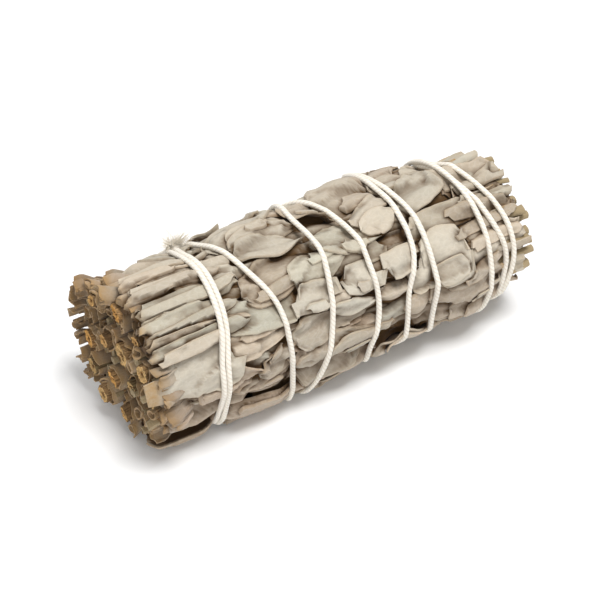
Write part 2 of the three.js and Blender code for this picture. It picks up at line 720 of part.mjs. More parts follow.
// Keeps the largest connected body of a solid.
function largestBody(solid) {
  const mesh = solid.getMesh();
  const count = mesh.vertProperties.length / 3;
  const parent = Array.from({ length: count }, (_, i) => i);
  const find = (i) => {
    let top = i;
    while (parent[top] !== top) {
      parent[top] = parent[parent[top]];
      top = parent[top];
    }
    return top;
  };
  for (let i = 0; i < mesh.triVerts.length; i += 3) {
    parent[find(mesh.triVerts[i])] = find(mesh.triVerts[i + 1]);
    parent[find(mesh.triVerts[i + 1])] = find(mesh.triVerts[i + 2]);
  }
  const groups = new Map();
  for (let i = 0; i < mesh.triVerts.length; i += 3) {
    const key = find(mesh.triVerts[i]);
    if (!groups.has(key)) groups.set(key, []);
    groups.get(key).push(mesh.triVerts[i], mesh.triVerts[i + 1], mesh.triVerts[i + 2]);
  }
  const bySize = [...groups.values()].sort((a, b) => b.length - a.length);
  return { positions: mesh.vertProperties, triangles: bySize[0] };
}

function facesRound(triangles, count) {
  const round = Array.from({ length: count }, () => new Set());
  triangles.forEach((corners, face) => corners.forEach((corner) => round[corner].add(face)));
  return round;
}

function normalOf(points, [a, b, c]) {
  const side = points[b].clone().sub(points[a]);
  return side.cross(points[c].clone().sub(points[a]));
}

function keepsFacing(points, triangles, faces, from, to, place) {
  for (const face of faces) {
    const corners = triangles[face];
    if (corners.includes(from) && corners.includes(to)) continue;
    const before = normalOf(points, corners);
    const spots = corners.map((corner) => (corner === from || corner === to ? place : points[corner]));
    const after = normalOf(spots, [0, 1, 2]);
    if (after.length() < 1e-3 || before.length() < 1e-9) return false;
    if (before.normalize().dot(after.clone().normalize()) < LEAST_TURN) return false;
  }
  return true;
}

function meetingPlace(a, b) {
  const flat = (point) => Math.abs(point.z) < 1e-3;
  if (flat(a) !== flat(b)) return flat(a) ? a.clone() : b.clone();
  return a.clone().lerp(b, 0.5);
}

function drawTogether(points, triangles) {
  const round = facesRound(triangles, points.length);
  const neighbours = (corner) => new Set([...round[corner]].flatMap((face) => triangles[face]));
  let changed = true;
  while (changed) {
    changed = false;
    for (let face = 0; face < triangles.length; face += 1) {
      for (let side = 0; side < 3 && triangles[face]; side += 1) {
        const keep = triangles[face][side];
        const lose = triangles[face][(side + 1) % 3];
        if (points[keep].distanceTo(points[lose]) > SHORTEST_EDGE) continue;
        const around = neighbours(lose);
        const shared = [...neighbours(keep)].filter((corner) => around.has(corner));
        if (shared.length !== 4) continue;
        const faces = new Set([...round[keep], ...round[lose]]);
        const place = meetingPlace(points[keep], points[lose]);
        if (!keepsFacing(points, triangles, faces, lose, keep, place)) continue;
        points[keep] = place;
        for (const other of [...round[lose]]) {
          const corners = triangles[other];
          if (corners.includes(keep)) {
            corners.forEach((corner) => round[corner].delete(other));
            triangles[other] = null;
          } else {
            triangles[other] = corners.map((corner) => (corner === lose ? keep : corner));
            round[keep].add(other);
          }
        }
        round[lose].clear();
        changed = true;
      }
    }
  }
  return triangles.filter(Boolean);
}

function nodeMesh(name, solid, look) {
  const { positions, triangles } = largestBody(solid);
  const points = [];
  for (let i = 0; i < positions.length; i += 3) points.push(new THREE.Vector3().fromArray(positions, i));
  const faces = [];
  for (let i = 0; i < triangles.length; i += 3) faces.push(triangles.slice(i, i + 3));
  const corners = drawTogether(points, faces).flat().flatMap((corner) => points[corner].toArray());
  const geometry = new THREE.BufferGeometry();
  geometry.setAttribute('position', new THREE.BufferAttribute(new Float32Array(corners), 3));
  const mesh = new THREE.Mesh(geometry, new THREE.MeshStandardMaterial(look));
  mesh.name = name;
  return mesh;
}

function overlaps(a, b) {
  const p = a.boundingBox();
  const q = b.boundingBox();
  return [0, 1, 2].every((k) => p.min[k] < q.max[k] && q.min[k] < p.max[k]);
}

function cutBy(solid, others) {
  return others.reduce((left, other) => (overlaps(left, other) ? left.subtract(other) : left), solid);
}

function belowFloor() {
  const box = new THREE.BoxGeometry(4 * HALF_LENGTH, 4 * HALF_LENGTH, FLOOR_DEPTH);
  box.translate(0, 0, -FLOOR_DEPTH / 2);
  return solidFromGeometry(box);
}

// Leaves that are laid on later may stand out further.
function ranked(leaves) {
  return leaves.map((leaf, rank) => {
    return { leaf, proud: THREE.MathUtils.lerp(FIRST_PROUD, LAST_PROUD, rank / leaves.length) };
  });
}

function backLeaves() {
  const leaves = [];
  BACK_ROWS.forEach((x, row) => {
    for (let k = 0; k < BACK_PER_ROW; k += 1) {
      const share = (k + (row % 2 ? 0.5 : 0)) / BACK_PER_ROW;
      const angle = THREE.MathUtils.lerp(BACK_FROM, BACK_TO, share) + between(-BACK_TURN, BACK_TURN);
      const start = x + between(-BACK_SHIFT, BACK_SHIFT);
      const length = between(...(row === BACK_ROWS.length - 1 ? BACK_LENGTH.last : BACK_LENGTH.row));
      const slant = between(-BACK_SLANT, BACK_SLANT);
      const width = between(...(row === 0 ? BACK_WIDTH.first : BACK_WIDTH.row));
      const kind = draw() < OVATE_SHARE ? 'ovate' : 'blunt';
      leaves.push([start, angle, Math.min(start + length, BACK_LAST), angle + slant, width, kind]);
    }
  });
  return leaves;
}

// The assembly
function buildBunch() {
  const sprigs = [...OUTER_SPRIGS, ...INNER_SPRIGS];
  const isOuter = (index) => index < OUTER_SPRIGS.length;
  const route = stringRoute();
  const map = bedMap(route);
  const pieces = [];
  sprigs.forEach((sprig, owner) => {
    pieces.push({ owner, body: curlSolid(sprig, 0), room: curlSolid(sprig, GAP) });
    for (const stalk of stalksFor(sprig, isOuter(owner))) pieces.push({ owner, ...stalk });
  });
  for (const { leaf, proud } of [...ranked(backLeaves()), ...ranked(FRONT_LEAVES), ...ranked(REST_LEAVES)]) {
    const ceiling = (x, angle) => radiusAt(x) + proud - grooveAt(x, angle, route);
    const bulging = AXIS_HEIGHT + REST_BULGE - BLADE;
    const laid = layLeaf(leaf, map, REST_LEAVES.includes(leaf) ? () => bulging : ceiling);
    const peg = pegFor(laid, pieces);
    if (!peg) throw new Error(`no place for the root of a leaf at ${leaf}`);
    pieces.push({ owner: peg.owner, body: laid.body, room: laid.room });
    pieces.push(peg);
  }
  const cotton = tautRoute(route, map);
  const stems = sprigs.map((sprig) => ({ body: stemSolid(sprig, 0), room: stemSolid(sprig, GAP) }));
  const stringRoom = stringSolid(cotton, STRING_RADIUS + GAP);
  const always = [...stems.map((stem) => stem.room), stringRoom, belowFloor()];

  const group = new THREE.Group();
  sprigs.forEach((sprig, owner) => {
    const outside = isOuter(owner)
      ? (x) => radiusAt(x) - bedDepth(x) - GROOVE_DEPTH
      : () => INNER_RADIUS - HALF_GAP;
    const core = coreSolid(sprig, isOuter(owner) ? INNER_RADIUS : 0, outside);
    const foreign = pieces.filter((piece) => piece.owner !== owner).map((piece) => piece.room);
    let whole = cutBy(core, foreign);
    pieces.forEach((piece, rank) => {
      if (piece.owner !== owner) return;
      const later = pieces.slice(rank + 1).filter((other) => other.owner !== owner);
      whole = whole.add(cutBy(piece.body, later.map((other) => other.room)));
    });
    whole = cutBy(whole, always);
    const number = String(owner + 1).padStart(2, '0');
    const look = { color: LEAF_LOOKS[owner % LEAF_LOOKS.length], roughness: 0.92, metalness: 0 };
    group.add(nodeMesh(`leaves_${number}`, whole, look));
  });
  stems.forEach((stem, owner) => {
    const number = String(owner + 1).padStart(2, '0');
    const look = { color: STEM_LOOKS[owner % STEM_LOOKS.length], roughness: 0.85, metalness: 0 };
    group.add(nodeMesh(`stem_${number}`, stem.body, look));
  });
  group.add(nodeMesh('string', stringSolid(cotton, STRING_RADIUS), STRING_LOOK));
  return group;
}

const bunch = buildBunch();
export default bunch;
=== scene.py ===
"""Looks of a sage bunch: dried sprigs laid side by side and wound crosswise with one cotton string.

Lengths are in millimetres until a mesh is made, and angles are in degrees round the bunch's axis:
0 on top, 90 towards -Y and 180 underneath. X runs from the cut stem ends to the leaf tips.
"""

import logging
import math
from collections.abc import Callable
from dataclasses import dataclass, field, replace
from enum import Enum

import bmesh
import bpy
import numpy as np
from mathutils import Matrix, Vector


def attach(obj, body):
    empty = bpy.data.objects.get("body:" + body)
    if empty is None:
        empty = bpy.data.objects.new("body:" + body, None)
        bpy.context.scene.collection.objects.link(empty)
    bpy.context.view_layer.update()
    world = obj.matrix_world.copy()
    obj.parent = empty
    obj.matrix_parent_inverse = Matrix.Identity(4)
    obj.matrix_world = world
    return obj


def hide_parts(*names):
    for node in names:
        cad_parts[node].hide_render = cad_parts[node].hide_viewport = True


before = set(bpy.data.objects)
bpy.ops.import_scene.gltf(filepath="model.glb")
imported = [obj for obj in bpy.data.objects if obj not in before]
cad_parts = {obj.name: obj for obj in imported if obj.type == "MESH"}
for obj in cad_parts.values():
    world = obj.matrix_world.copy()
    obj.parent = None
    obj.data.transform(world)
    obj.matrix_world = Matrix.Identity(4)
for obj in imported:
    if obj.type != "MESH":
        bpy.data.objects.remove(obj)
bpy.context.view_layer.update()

Array = np.ndarray
Color = tuple[float, float, float]
Shape = Callable[[Array], Array]
Random = np.random.Generator
Tree = bpy.types.NodeTree
Node = bpy.types.Node
Socket = bpy.types.NodeSocket
LOG = logging.getLogger("sage_bunch")
MM = 0.001
BODY = "root"
GOLDEN_TURN = 137.5
OTHER_TURN = 222.5
TINY = 1e-6
FAR_AWAY = 99.0
PHASES = 6.3
OUTER_SPACING = 16.0
INNER_SPACING = 60.0
OUTER_STALK_REACH = (11.2, 11.8)
INNER_STALK_REACH = (4.6, 7.0)
STALK_RADIUS = (1.05, 1.4)
STALK_TIPS = (47.0, 52.4)
UNSET = (0.8, 0.8, 0.8)


def ramp(value: Array | float, low: float, high: float) -> Array:
    """Share of the way from low to high, kept between 0 and 1."""
    return np.clip((np.asarray(value, float) - low) / (high - low), 0.0, 1.0)


def lerp(low: Array | float, high: Array | float, share: Array | float) -> Array | float:
    """Value at a share of the way between two values."""
    return low + (high - low) * share


def turned(angle: Array | float) -> Array:
    """Angle brought between -180 and 180 degrees."""
    return (np.asarray(angle, float) + 180.0) % 360.0 - 180.0


def smooth_noise(rng: Random, u: Array, v: Array, wave: float) -> Array:
    """Soft random hills over two arrays of places.

    Args:
        rng: Source of the random heights.
        u: First coordinate of each place.
        v: Second coordinate of each place.
        wave: Distance between two random heights.

    Returns:
        Heights between -1 and 1.
    """
    a = (u - u.min()) / wave
    b = (v - v.min()) / wave
    knots = rng.uniform(-1.0, 1.0, (int(a.max()) + 2, int(b.max()) + 2))
    i, j = a.astype(int), b.astype(int)
    p, q = a - i, b - j
    p, q = p * p * (3 - 2 * p), q * q * (3 - 2 * q)
    near = lerp(knots[i, j], knots[i, j + 1], q)
    far = lerp(knots[i + 1, j], knots[i + 1, j + 1], q)
    return lerp(near, far, p)


def torn_noise(rng: Random, u: Array, wave: float) -> Array:
    """Random jags with straight runs between them.

    Args:
        rng: Source of the random heights.
        u: Places along an edge.
        wave: Mean distance between two corners.

    Returns:
        Heights between -1 and 1.
    """
    count = max(3, int((u.max() - u.min()) / wave) + 2)
    corners = np.linspace(u.min(), u.max(), count) + wave * rng.uniform(-0.35, 0.35, count)
    return np.interp(u, corners, rng.uniform(-1.0, 1.0, count))


class SeededDraws:
    """Random numbers between 0 and 1 that are the same in every run."""

    MASK = 0xFFFFFFFF

    def __init__(self, seed: int) -> None:
        """Starts the row of numbers at a seed."""
        self.state = seed

    def draw(self) -> float:
        """Next number between 0 and 1.

        Returns:
            The number.
        """
        mask = self.MASK
        self.state = (self.state + 0x6D2B79F5) & mask
        mixed = ((self.state ^ (self.state >> 15)) * (1 | self.state)) & mask
        mixed = ((mixed + (((mixed ^ (mixed >> 7)) * (61 | mixed)) & mask)) & mask) ^ mixed
        return ((mixed ^ (mixed >> 14)) & mask) / 4294967296

    def between(self, low: float, high: float) -> float:
        """Next number between two values."""
        return low + (high - low) * self.draw()


@dataclass(frozen=True)
class BunchForm:
    """The bunch's overall form, a slim barrel that is drawn in at the leaf tips."""

    half_length: float = 53.5
    axis_height: float = 20.5
    axis_side: float = 0.45
    near_radius: float = 21.4
    waist_loss: float = 1.0
    far_loss: float = 0.7
    tip_loss: float = 2.0
    half_depth: float = 21.0
    past_depth: float = 0.35
    bulge_width: float = 23.0
    top_rise: float = 1.5
    back_loss: float = 1.3
    back_press: float = 0.9
    front_press: float = 1.9
    near_foot: float = 3.7
    far_foot: float = 1.1
    waist: tuple[float, float] = (-45.0, 0.0)
    far_part: tuple[float, float] = (0.0, 36.0)
    tips: tuple[float, float] = (34.0, 44.0)
    humps: tuple[float, ...] = (-40, -92, 138, 92)
    raised_from: tuple[float, float] = (-38.0, -14.0)
    raised_until: tuple[float, float] = (-32.0, -8.0)
    pressed_until: tuple[float, float] = (-40.0, -24.0)
    foot_part: tuple[float, float] = (-20.0, 18.0)

    def radius_at(self, x: Array | float) -> Array:
        """Distance from the axis to the outer leaves at a place along the bunch."""
        waist = self.waist_loss * ramp(x, *self.waist) + self.far_loss * ramp(x, *self.far_part)
        return self.near_radius - waist - self.tip_loss * ramp(x, *self.tips)

    def bulge(self, x: Array, angle: Array) -> Array:
        """How far the leaves stand out from the round form, or in, at each place.

        Args:
            x: Places along the bunch.
            angle: Angles round the axis.

        Returns:
            Distances to add.
        """
        top, back, foot, front = (
            np.exp(-((turned(angle - middle) / self.bulge_width) ** 2)) for middle in self.humps)
        raised = self.top_rise * ramp(x, *self.raised_from) * ramp(-x, *self.raised_until) * top
        pressed = ramp(-x, *self.pressed_until) * (self.back_press * back + self.front_press * front)
        lowered = lerp(self.near_foot, self.far_foot, ramp(x, *self.foot_part)) * foot
        return raised - self.back_loss * back - pressed + lowered

    def within(self, angle: Array, reach: Array) -> Array:
        """Distances from the axis, eased in where they pass the form's depth to the front or back.

        Args:
            angle: Angles round the axis.
            reach: Distances from the axis.

        Returns:
            The eased distances.
        """
        sine = np.sin(np.radians(angle))
        room = (self.half_depth + self.axis_side * np.sign(sine)) / np.maximum(np.abs(sine), 0.1)
        return np.where(reach > room, room + self.past_depth * (reach - room), reach)

    def place(self, x: Array | float, angle: Array | float, reach: Array | float) -> Array:
        """Points in space of places given by x, angle and distance from the axis.

        Args:
            x: Place along the bunch.
            angle: Angle round the axis.
            reach: Distance from the axis.

        Returns:
            Array of points, with X, Y and Z in its last dimension.
        """
        x, angle, reach = np.broadcast_arrays(x, np.radians(angle), reach)
        side = self.axis_side - reach * np.sin(angle)
        height = self.axis_height + reach * np.cos(angle)
        return np.stack([x, side, height], axis=-1)

    def degrees(self, length: Array | float, x: Array | float) -> Array:
        """Angle that a length along the outer leaves takes up at a place along the bunch."""
        return np.degrees(length / self.radius_at(x))

    def length(self, degrees: Array | float, x: Array | float) -> Array:
        """Length along the outer leaves of an angle at a place along the bunch."""
        return np.radians(degrees) * self.radius_at(x)


FORM = BunchForm()


@dataclass(frozen=True)
class Sprig:
    """One sprig: its stem's place, width and ends, and the angles its leaves are packed between."""

    reach: float
    angle: float
    width: float
    cut: float
    end: float
    low: float
    high: float

    def holds(self, angle: float) -> bool:
        """Whether an angle lies between those of its leaves."""
        return any(self.low <= angle % 360 - turn < self.high for turn in (0, 360))


OUTER_SPRIGS = (
    Sprig(15.0, 1, 4.8, -50.6, 47.5, -22, 18),
    Sprig(15.4, 34, 3.0, -50.0, 44.0, 18, 49),
    Sprig(15.0, 61, 4.2, -51.0, 48.5, 49, 75),
    Sprig(15.3, 90, 3.4, -50.4, 46.0, 75, 111),
    Sprig(15.2, 134, 3.2, -48.0, 43.0, 111, 156),
    Sprig(14.8, 171, 3.6, -51.6, 46.5, 156, 185),
    Sprig(14.2, 200, 4.6, -53.5, 44.5, 185, 214),
    Sprig(15.0, 229, 4.2, -52.8, 48.0, 214, 240),
    Sprig(14.9, 254, 4.4, -51.8, 45.5, 240, 275),
    Sprig(15.2, 311, 3.0, -51.4, 47.0, 275, 338),
)
INNER_SPRIGS = (
    Sprig(5.6, 32, 6.0, -51.2, 49.0, -22, 82),
    Sprig(6.6, 117, 3.2, -50.8, 45.0, 82, 152),
    Sprig(6.0, 193, 4.2, -52.2, 48.0, 152, 240),
    Sprig(6.2, 289, 3.8, -51.6, 46.5, 240, 338),
)
SPRIGS = OUTER_SPRIGS + INNER_SPRIGS
LONGEST = 2


class LeafKind(Enum):
    """How a dried leaf has folded."""

    OVATE = "open, with a midrib and rolled margins"
    POD = "closed along a seam"
    STRIP = "folded double along its midrib"
    BLUNT = "broad and crumpled, with a blunt end"


OVATE, POD, STRIP, BLUNT = LeafKind.OVATE, LeafKind.POD, LeafKind.STRIP, LeafKind.BLUNT


@dataclass(frozen=True)
class Leaf:
    """One leaf on the bunch. Its tone runs from -1, greenish grey, to 1, pinkish brown."""

    x0: float
    angle0: float
    x1: float
    angle1: float
    width: float
    kind: LeafKind
    tone: float = 0.0


FRONT_LEAVES = (
    Leaf(-46.5, -14, -38, -12, 6.4, STRIP, 0.7),
    Leaf(-44, -27, -31, -10, 6.0, STRIP, 0.1),
    Leaf(-39, -36, -26, -20, 7.5, OVATE, -0.2),
    Leaf(-50, 2, -29, -1, 4.6, STRIP, 0.2),
    Leaf(-48, 8, -22, 3, 3.6, STRIP, 0.0),
    Leaf(-49.5, 14, -37, 14, 3.6, STRIP, 0.3),
    Leaf(-49, 20, -36, 24, 3.4, STRIP, 0.0),
    Leaf(-40, 19, -24, 20, 3.0, STRIP, 0.3),
    Leaf(-48.5, 29, -37, 33, 4.2, OVATE, -0.2),
    Leaf(-37, 29, -20, 30, 3.8, OVATE, -0.1),
    Leaf(-49.5, 40, -36, 42, 3.8, STRIP, 0.4),
    Leaf(-47, 48, -34, 50, 3.4, STRIP, -0.2),
    Leaf(-34, 66, -13, 67, 7.4, OVATE, 0.9),
    Leaf(-40, 88, -23, 92, 11.5, OVATE, 0.8),
    Leaf(-14, 84, -3, 68, 9.0, OVATE, 0.2),
    Leaf(-24, 99, -15, 81, 6.4, OVATE, 0.2),
    Leaf(-48.5, 64, -30, 70, 14.0, BLUNT, -0.5),
    Leaf(-25, -10, -5, -30, 10.5, OVATE, -0.3),
    Leaf(-38, 12, -15, 14, 3.8, POD, -0.3),
    Leaf(-31, 44, -12.5, 50, 7.8, BLUNT, -0.7),
    Leaf(-37.5, 31, -31.5, 38, 4.4, BLUNT, 0.2),
    Leaf(-24, 34, -4, 20, 10.0, OVATE, 0.4),
    Leaf(-4, -27, 5, -4, 6.4, OVATE, 0.5),
    Leaf(-21, -2, -4, -8, 6.6, POD, -0.1),
    Leaf(-21, 2, -4.5, 9, 6.2, POD, -0.2),
    Leaf(-12, 36, 2, 32, 9.0, OVATE, -0.7),
    Leaf(-13, 50, -3, 55, 7.0, BLUNT, -0.4),
    Leaf(-4, 66, 8, 71, 4.6, OVATE, -0.5),
    Leaf(-6, 103, 8, 95, 6.4, OVATE, 0.0),
    Leaf(8, 70, 17, 73, 4.0, STRIP, 0.6),
    Leaf(0, 48, 9, 51, 7.0, BLUNT, -0.5),
    Leaf(-3, 14, 13, 28, 9.5, OVATE, -0.5),
    Leaf(4, -24, 20, -17, 13.0, OVATE, 0.2),
    Leaf(8, 14, 20, -4, 4.4, STRIP, 0.1),
    Leaf(9, 21, 20, 12, 6.0, POD, -0.1),
    Leaf(11, 51, 20, 49, 6.6, BLUNT, -0.2),
    Leaf(19, -24, 28, -8, 6.4, OVATE, 0.1),
    Leaf(29, -24, 48, -14, 9.0, OVATE, 0.0),
    Leaf(33, 2, 47.5, 5, 6.0, BLUNT, 0.2),
    Leaf(36, 20, 49, 20, 5.0, BLUNT, 0.4),
    Leaf(37, 36, 50, 37, 5.0, BLUNT, 0.5),
    Leaf(33, 51, 48, 52, 5.4, STRIP, 0.3),
    Leaf(31, 67, 49.5, 67, 6.2, STRIP, 0.1),
    Leaf(16, 100, 24, 84, 5.0, OVATE, 0.4),
    Leaf(20, 32, 38, 31, 5.6, BLUNT, 0.2),
    Leaf(21, 12, 33, -5, 8.4, BLUNT, -0.2),
    Leaf(22, 92, 44, 90, 9.4, OVATE, 0.6),
    Leaf(19.5, 63, 33, 60, 13.5, BLUNT, -0.3),
)
REST_LEAVES = (
    Leaf(-30, 177, -15, 183, 11, BLUNT, 0.2),
    Leaf(9, 183, 21, 177, 10, BLUNT, 0.0),
)


@dataclass(frozen=True)
class BackRows:
    """Rows of leaves on the side away from the slanting turns of string."""

    starts: tuple[float, ...] = (-49, -33, -13, 7, 27)
    low: float = 113
    high: float = 328
    per_row: int = 6
    last_x: float = 49
    length: tuple[float, float] = (21, 27)
    last_length: tuple[float, float] = (18, 20)
    width: tuple[float, float] = (9.5, 13)
    first_width: tuple[float, float] = (7, 10)
    slant: float = 16
    ovate_share: float = 0.7

    def leaves(self, draws: SeededDraws) -> list[Leaf]:
        """Draws the leaves row by row.

        Args:
            draws: The bunch's random numbers.

        Returns:
            The leaves, lowest first.
        """
        leaves = []
        for row, x in enumerate(self.starts):
            for k in range(self.per_row):
                share = (k + (0.5 if row % 2 else 0)) / self.per_row
                angle = lerp(self.low, self.high, share) + draws.between(-5, 5)
                start = x + draws.between(-2, 2)
                last = row == len(self.starts) - 1
                length = draws.between(*(self.last_length if last else self.length))
                slant = draws.between(-self.slant, self.slant)
                width = draws.between(*(self.first_width if row == 0 else self.width))
                kind = OVATE if draws.draw() < self.ovate_share else BLUNT
                tip = min(start + length, self.last_x)
                leaves.append(Leaf(start, angle, tip, angle + slant, width, kind))
        return leaves


@dataclass(frozen=True)
class Stalk:
    """A leaf stalk that stands out at the leaf tips."""

    sprig: int
    angle: float
    reach: float
    radius: float
    tip: float


def draw_stalks(draws: SeededDraws) -> list[Stalk]:
    """Draws the stalks of every sprig, in the sprigs' order.

    Args:
        draws: The bunch's random numbers.

    Returns:
        The stalks.
    """
    stalks = []
    for index, sprig in enumerate(SPRIGS):
        outer = index < len(OUTER_SPRIGS)
        spacing = OUTER_SPACING if outer else INNER_SPACING
        count = max(1, math.floor((sprig.high - sprig.low) / spacing + 0.5))
        for k in range(count):
            angle = lerp(sprig.low, sprig.high, (k + 0.5) / count) + draws.between(-1.5, 1.5)
            reach = draws.between(*(OUTER_STALK_REACH if outer else INNER_STALK_REACH))
            radius = draws.between(*STALK_RADIUS)
            longest = k == 0 and index == LONGEST
            tip = FORM.half_length - 0.1 if longest else draws.between(*STALK_TIPS)
            stalks.append(Stalk(index, angle, reach, radius, tip))
    return stalks


@dataclass
class StringRoute:
    """Route of the string over the unrolled bunch, out to the tips and back to its knot."""

    angles: tuple[float, ...] = (-45, -15, 15, 45, 75, 110)
    turns: tuple[tuple[float, ...], ...] = (
        (-30.8, -31.6, -31.2, -32.1, -34.1, -34.2),
        (-29.4, -30.2, -29.8, -30.7, -32.7, -32.8),
        (-27.0, -24.2, -20.6, -17.2, -16.2, -15.5),
        (-1.0, 3.8, 6.5, 7.2, 7.6, 5.5),
        (20.9, 21.2, 22.5, 23.0, 23.5, 23.0),
        (35.7, 35.5, 38.0, 41.0, 43.8, 43.5),
        (37.5, 39.5, 42.5, 45.0, 46.0, 45.0),
        (35.3, 35.2, 37.0, 38.2, 38.5, 38.5),
        (19.6, 19.7, 20.0, 19.2, 16.5, 15.8),
        (-2.5, -3.6, -3.0, -3.8, -5.0, -7.5),
    )
    knot_x: float = -27.8
    knot_angle: float = -38
    steps: int = 110
    behind_tips: float = 6.65
    x: Array = field(init=False)
    angle: Array = field(init=False)

    def __post_init__(self) -> None:
        """Runs one smooth line through the places."""
        knots = [
            (angle + 360.0 * turn, x)
            for turn, places in enumerate(self.turns)
            for angle, x in zip(self.angles, places)
        ]
        knots.append((360.0 * len(self.turns) + self.knot_angle, self.knot_x))
        turn, x = np.array(knots).T
        slope = np.gradient(x, turn)
        self.angle = np.linspace(turn[0], turn[-1], len(self.turns) * self.steps)
        k = np.clip(np.searchsorted(turn, self.angle) - 1, 0, len(turn) - 2)
        span = turn[k + 1] - turn[k]
        p = (self.angle - turn[k]) / span
        rise = (2 * p**3 - 3 * p**2 + 1) * x[k] + (3 * p**2 - 2 * p**3) * x[k + 1]
        lean = (p**3 - 2 * p**2 + p) * slope[k] + (p**3 - p**2) * slope[k + 1]
        self.x = rise + span * lean

    @property
    def turning_place(self) -> int:
        """Index of the step behind the leaf tips where the string winds back."""
        return int(self.behind_tips * self.steps)


class HeightMap:
    """Distances from the axis over the unrolled bunch, which grow as leaves are laid on."""

    STEP = 0.35
    BED = 5.2
    LOOK_WAYS = 8
    LOOKS = (0.6, 1.2, 2.2, 3.6)
    DISC = [(0.0, 0.0)] + [
        (r * math.cos(math.radians(a)), r * math.sin(math.radians(a)))
        for r, count in ((0.5, 6), (1.0, 10))
        for a in np.arange(0, 360, 360 / count)
    ]

    def __init__(self) -> None:
        """Starts as a bed under the outer leaves."""
        self.rows = int(2 * FORM.half_length / self.STEP) + 1
        self.x = -FORM.half_length + self.STEP * np.arange(self.rows)
        self.angle = np.arange(360.0)
        self.heights = np.repeat((FORM.radius_at(self.x) - self.BED)[:, None], 360, axis=1)

    def cells(self, x: Array, angle: Array) -> tuple[Array, Array]:
        """Row and column of the cell at each place."""
        row = np.clip(np.rint((x + FORM.half_length) / self.STEP), 0, self.rows - 1).astype(int)
        return row, np.rint(angle).astype(int) % 360

    def highest(self, x: Array, angle: Array, spread: float) -> Array:
        """Greatest height within a spread of each place.

        Args:
            x: Places along the bunch.
            angle: Angles of the places.
            spread: Distance to look round each place.

        Returns:
            The heights.
        """
        top = np.zeros(np.shape(x))
        for along, across in self.DISC:
            row, column = self.cells(x + spread * along, angle + FORM.degrees(spread * across, x))
            top = np.maximum(top, self.heights[row, column])
        return top

    def buried(self, x: Array, angle: Array, reach: Array) -> Array:
        """Share of the open space over each place that higher leaves round it hide.

        Args:
            x: Places along the bunch.
            angle: Angles of the places.
            reach: Distances of the places from the axis.

        Returns:
            Values between 0, open, and 1, wholly hidden.
        """
        hidden = np.zeros(np.shape(x))
        for turn in np.linspace(0, 2 * math.pi, self.LOOK_WAYS, endpoint=False):
            slope = np.zeros(np.shape(x))
            for away in self.LOOKS:
                round_it = angle + FORM.degrees(away * math.sin(turn), x)
                cells = self.cells(x + away * math.cos(turn), round_it)
                slope = np.maximum(slope, (self.heights[cells] - reach) / away)
            hidden += slope / np.hypot(1.0, slope) / self.LOOK_WAYS
        return hidden

    def lay(self, x: Array, angle: Array, top: Array) -> None:
        """Raises the map to the given heights."""
        row, column = self.cells(x, angle)
        np.maximum.at(self.heights, (row.ravel(), column.ravel()), top.ravel())

    def lay_grid(self, x: Array, angle: Array, top: Array) -> None:
        """Raises the map under a grid of places, and between them.

        Args:
            x: Places along the bunch.
            angle: Angles round the axis.
            top: Heights at the places.
        """
        for p in (0.0, 0.33, 0.67):
            for q in (0.0, 0.33, 0.67):
                spots = [
                    lerp(lerp(a[:-1, :-1], a[1:, :-1], p), lerp(a[:-1, 1:], a[1:, 1:], p), q)
                    for a in (x, angle, top)
                ]
                self.lay(*spots)
        self.lay(x, angle, top)


class GrooveMap:
    """Depth of the hollow that the string presses into the leaves."""

    DEPTH = 1.25
    WIDTH = 2.3
    REACH = 25.0
    ALONG = 9.0
    LEAN = 0.6

    def __init__(self, route: StringRoute, ground: HeightMap) -> None:
        """Works out the depth at each cell of the height map.

        Args:
            route: The string's route over the unrolled bunch.
            ground: The height map.
        """
        self.ground = ground
        nearest = np.full(ground.heights.shape, FAR_AWAY)
        for x, angle in zip(route.x[::3], route.angle[::3]):
            away = np.abs(turned(ground.angle - angle))
            columns = np.nonzero(away < self.REACH)[0]
            rows = np.nonzero(np.abs(ground.x - x) < self.ALONG)[0]
            across = np.radians(away[columns]) * FORM.radius_at(x) * self.LEAN
            gap = np.hypot(ground.x[rows][:, None] - x, across[None, :])
            cells = np.ix_(rows, columns)
            nearest[cells] = np.minimum(nearest[cells], gap)
        self.depths = self.DEPTH * np.exp(-((nearest / self.WIDTH) ** 2))

    def at(self, x: Array, angle: Array) -> Array:
        """Depth of the hollow at each place."""
        return self.depths[self.ground.cells(x, angle)]


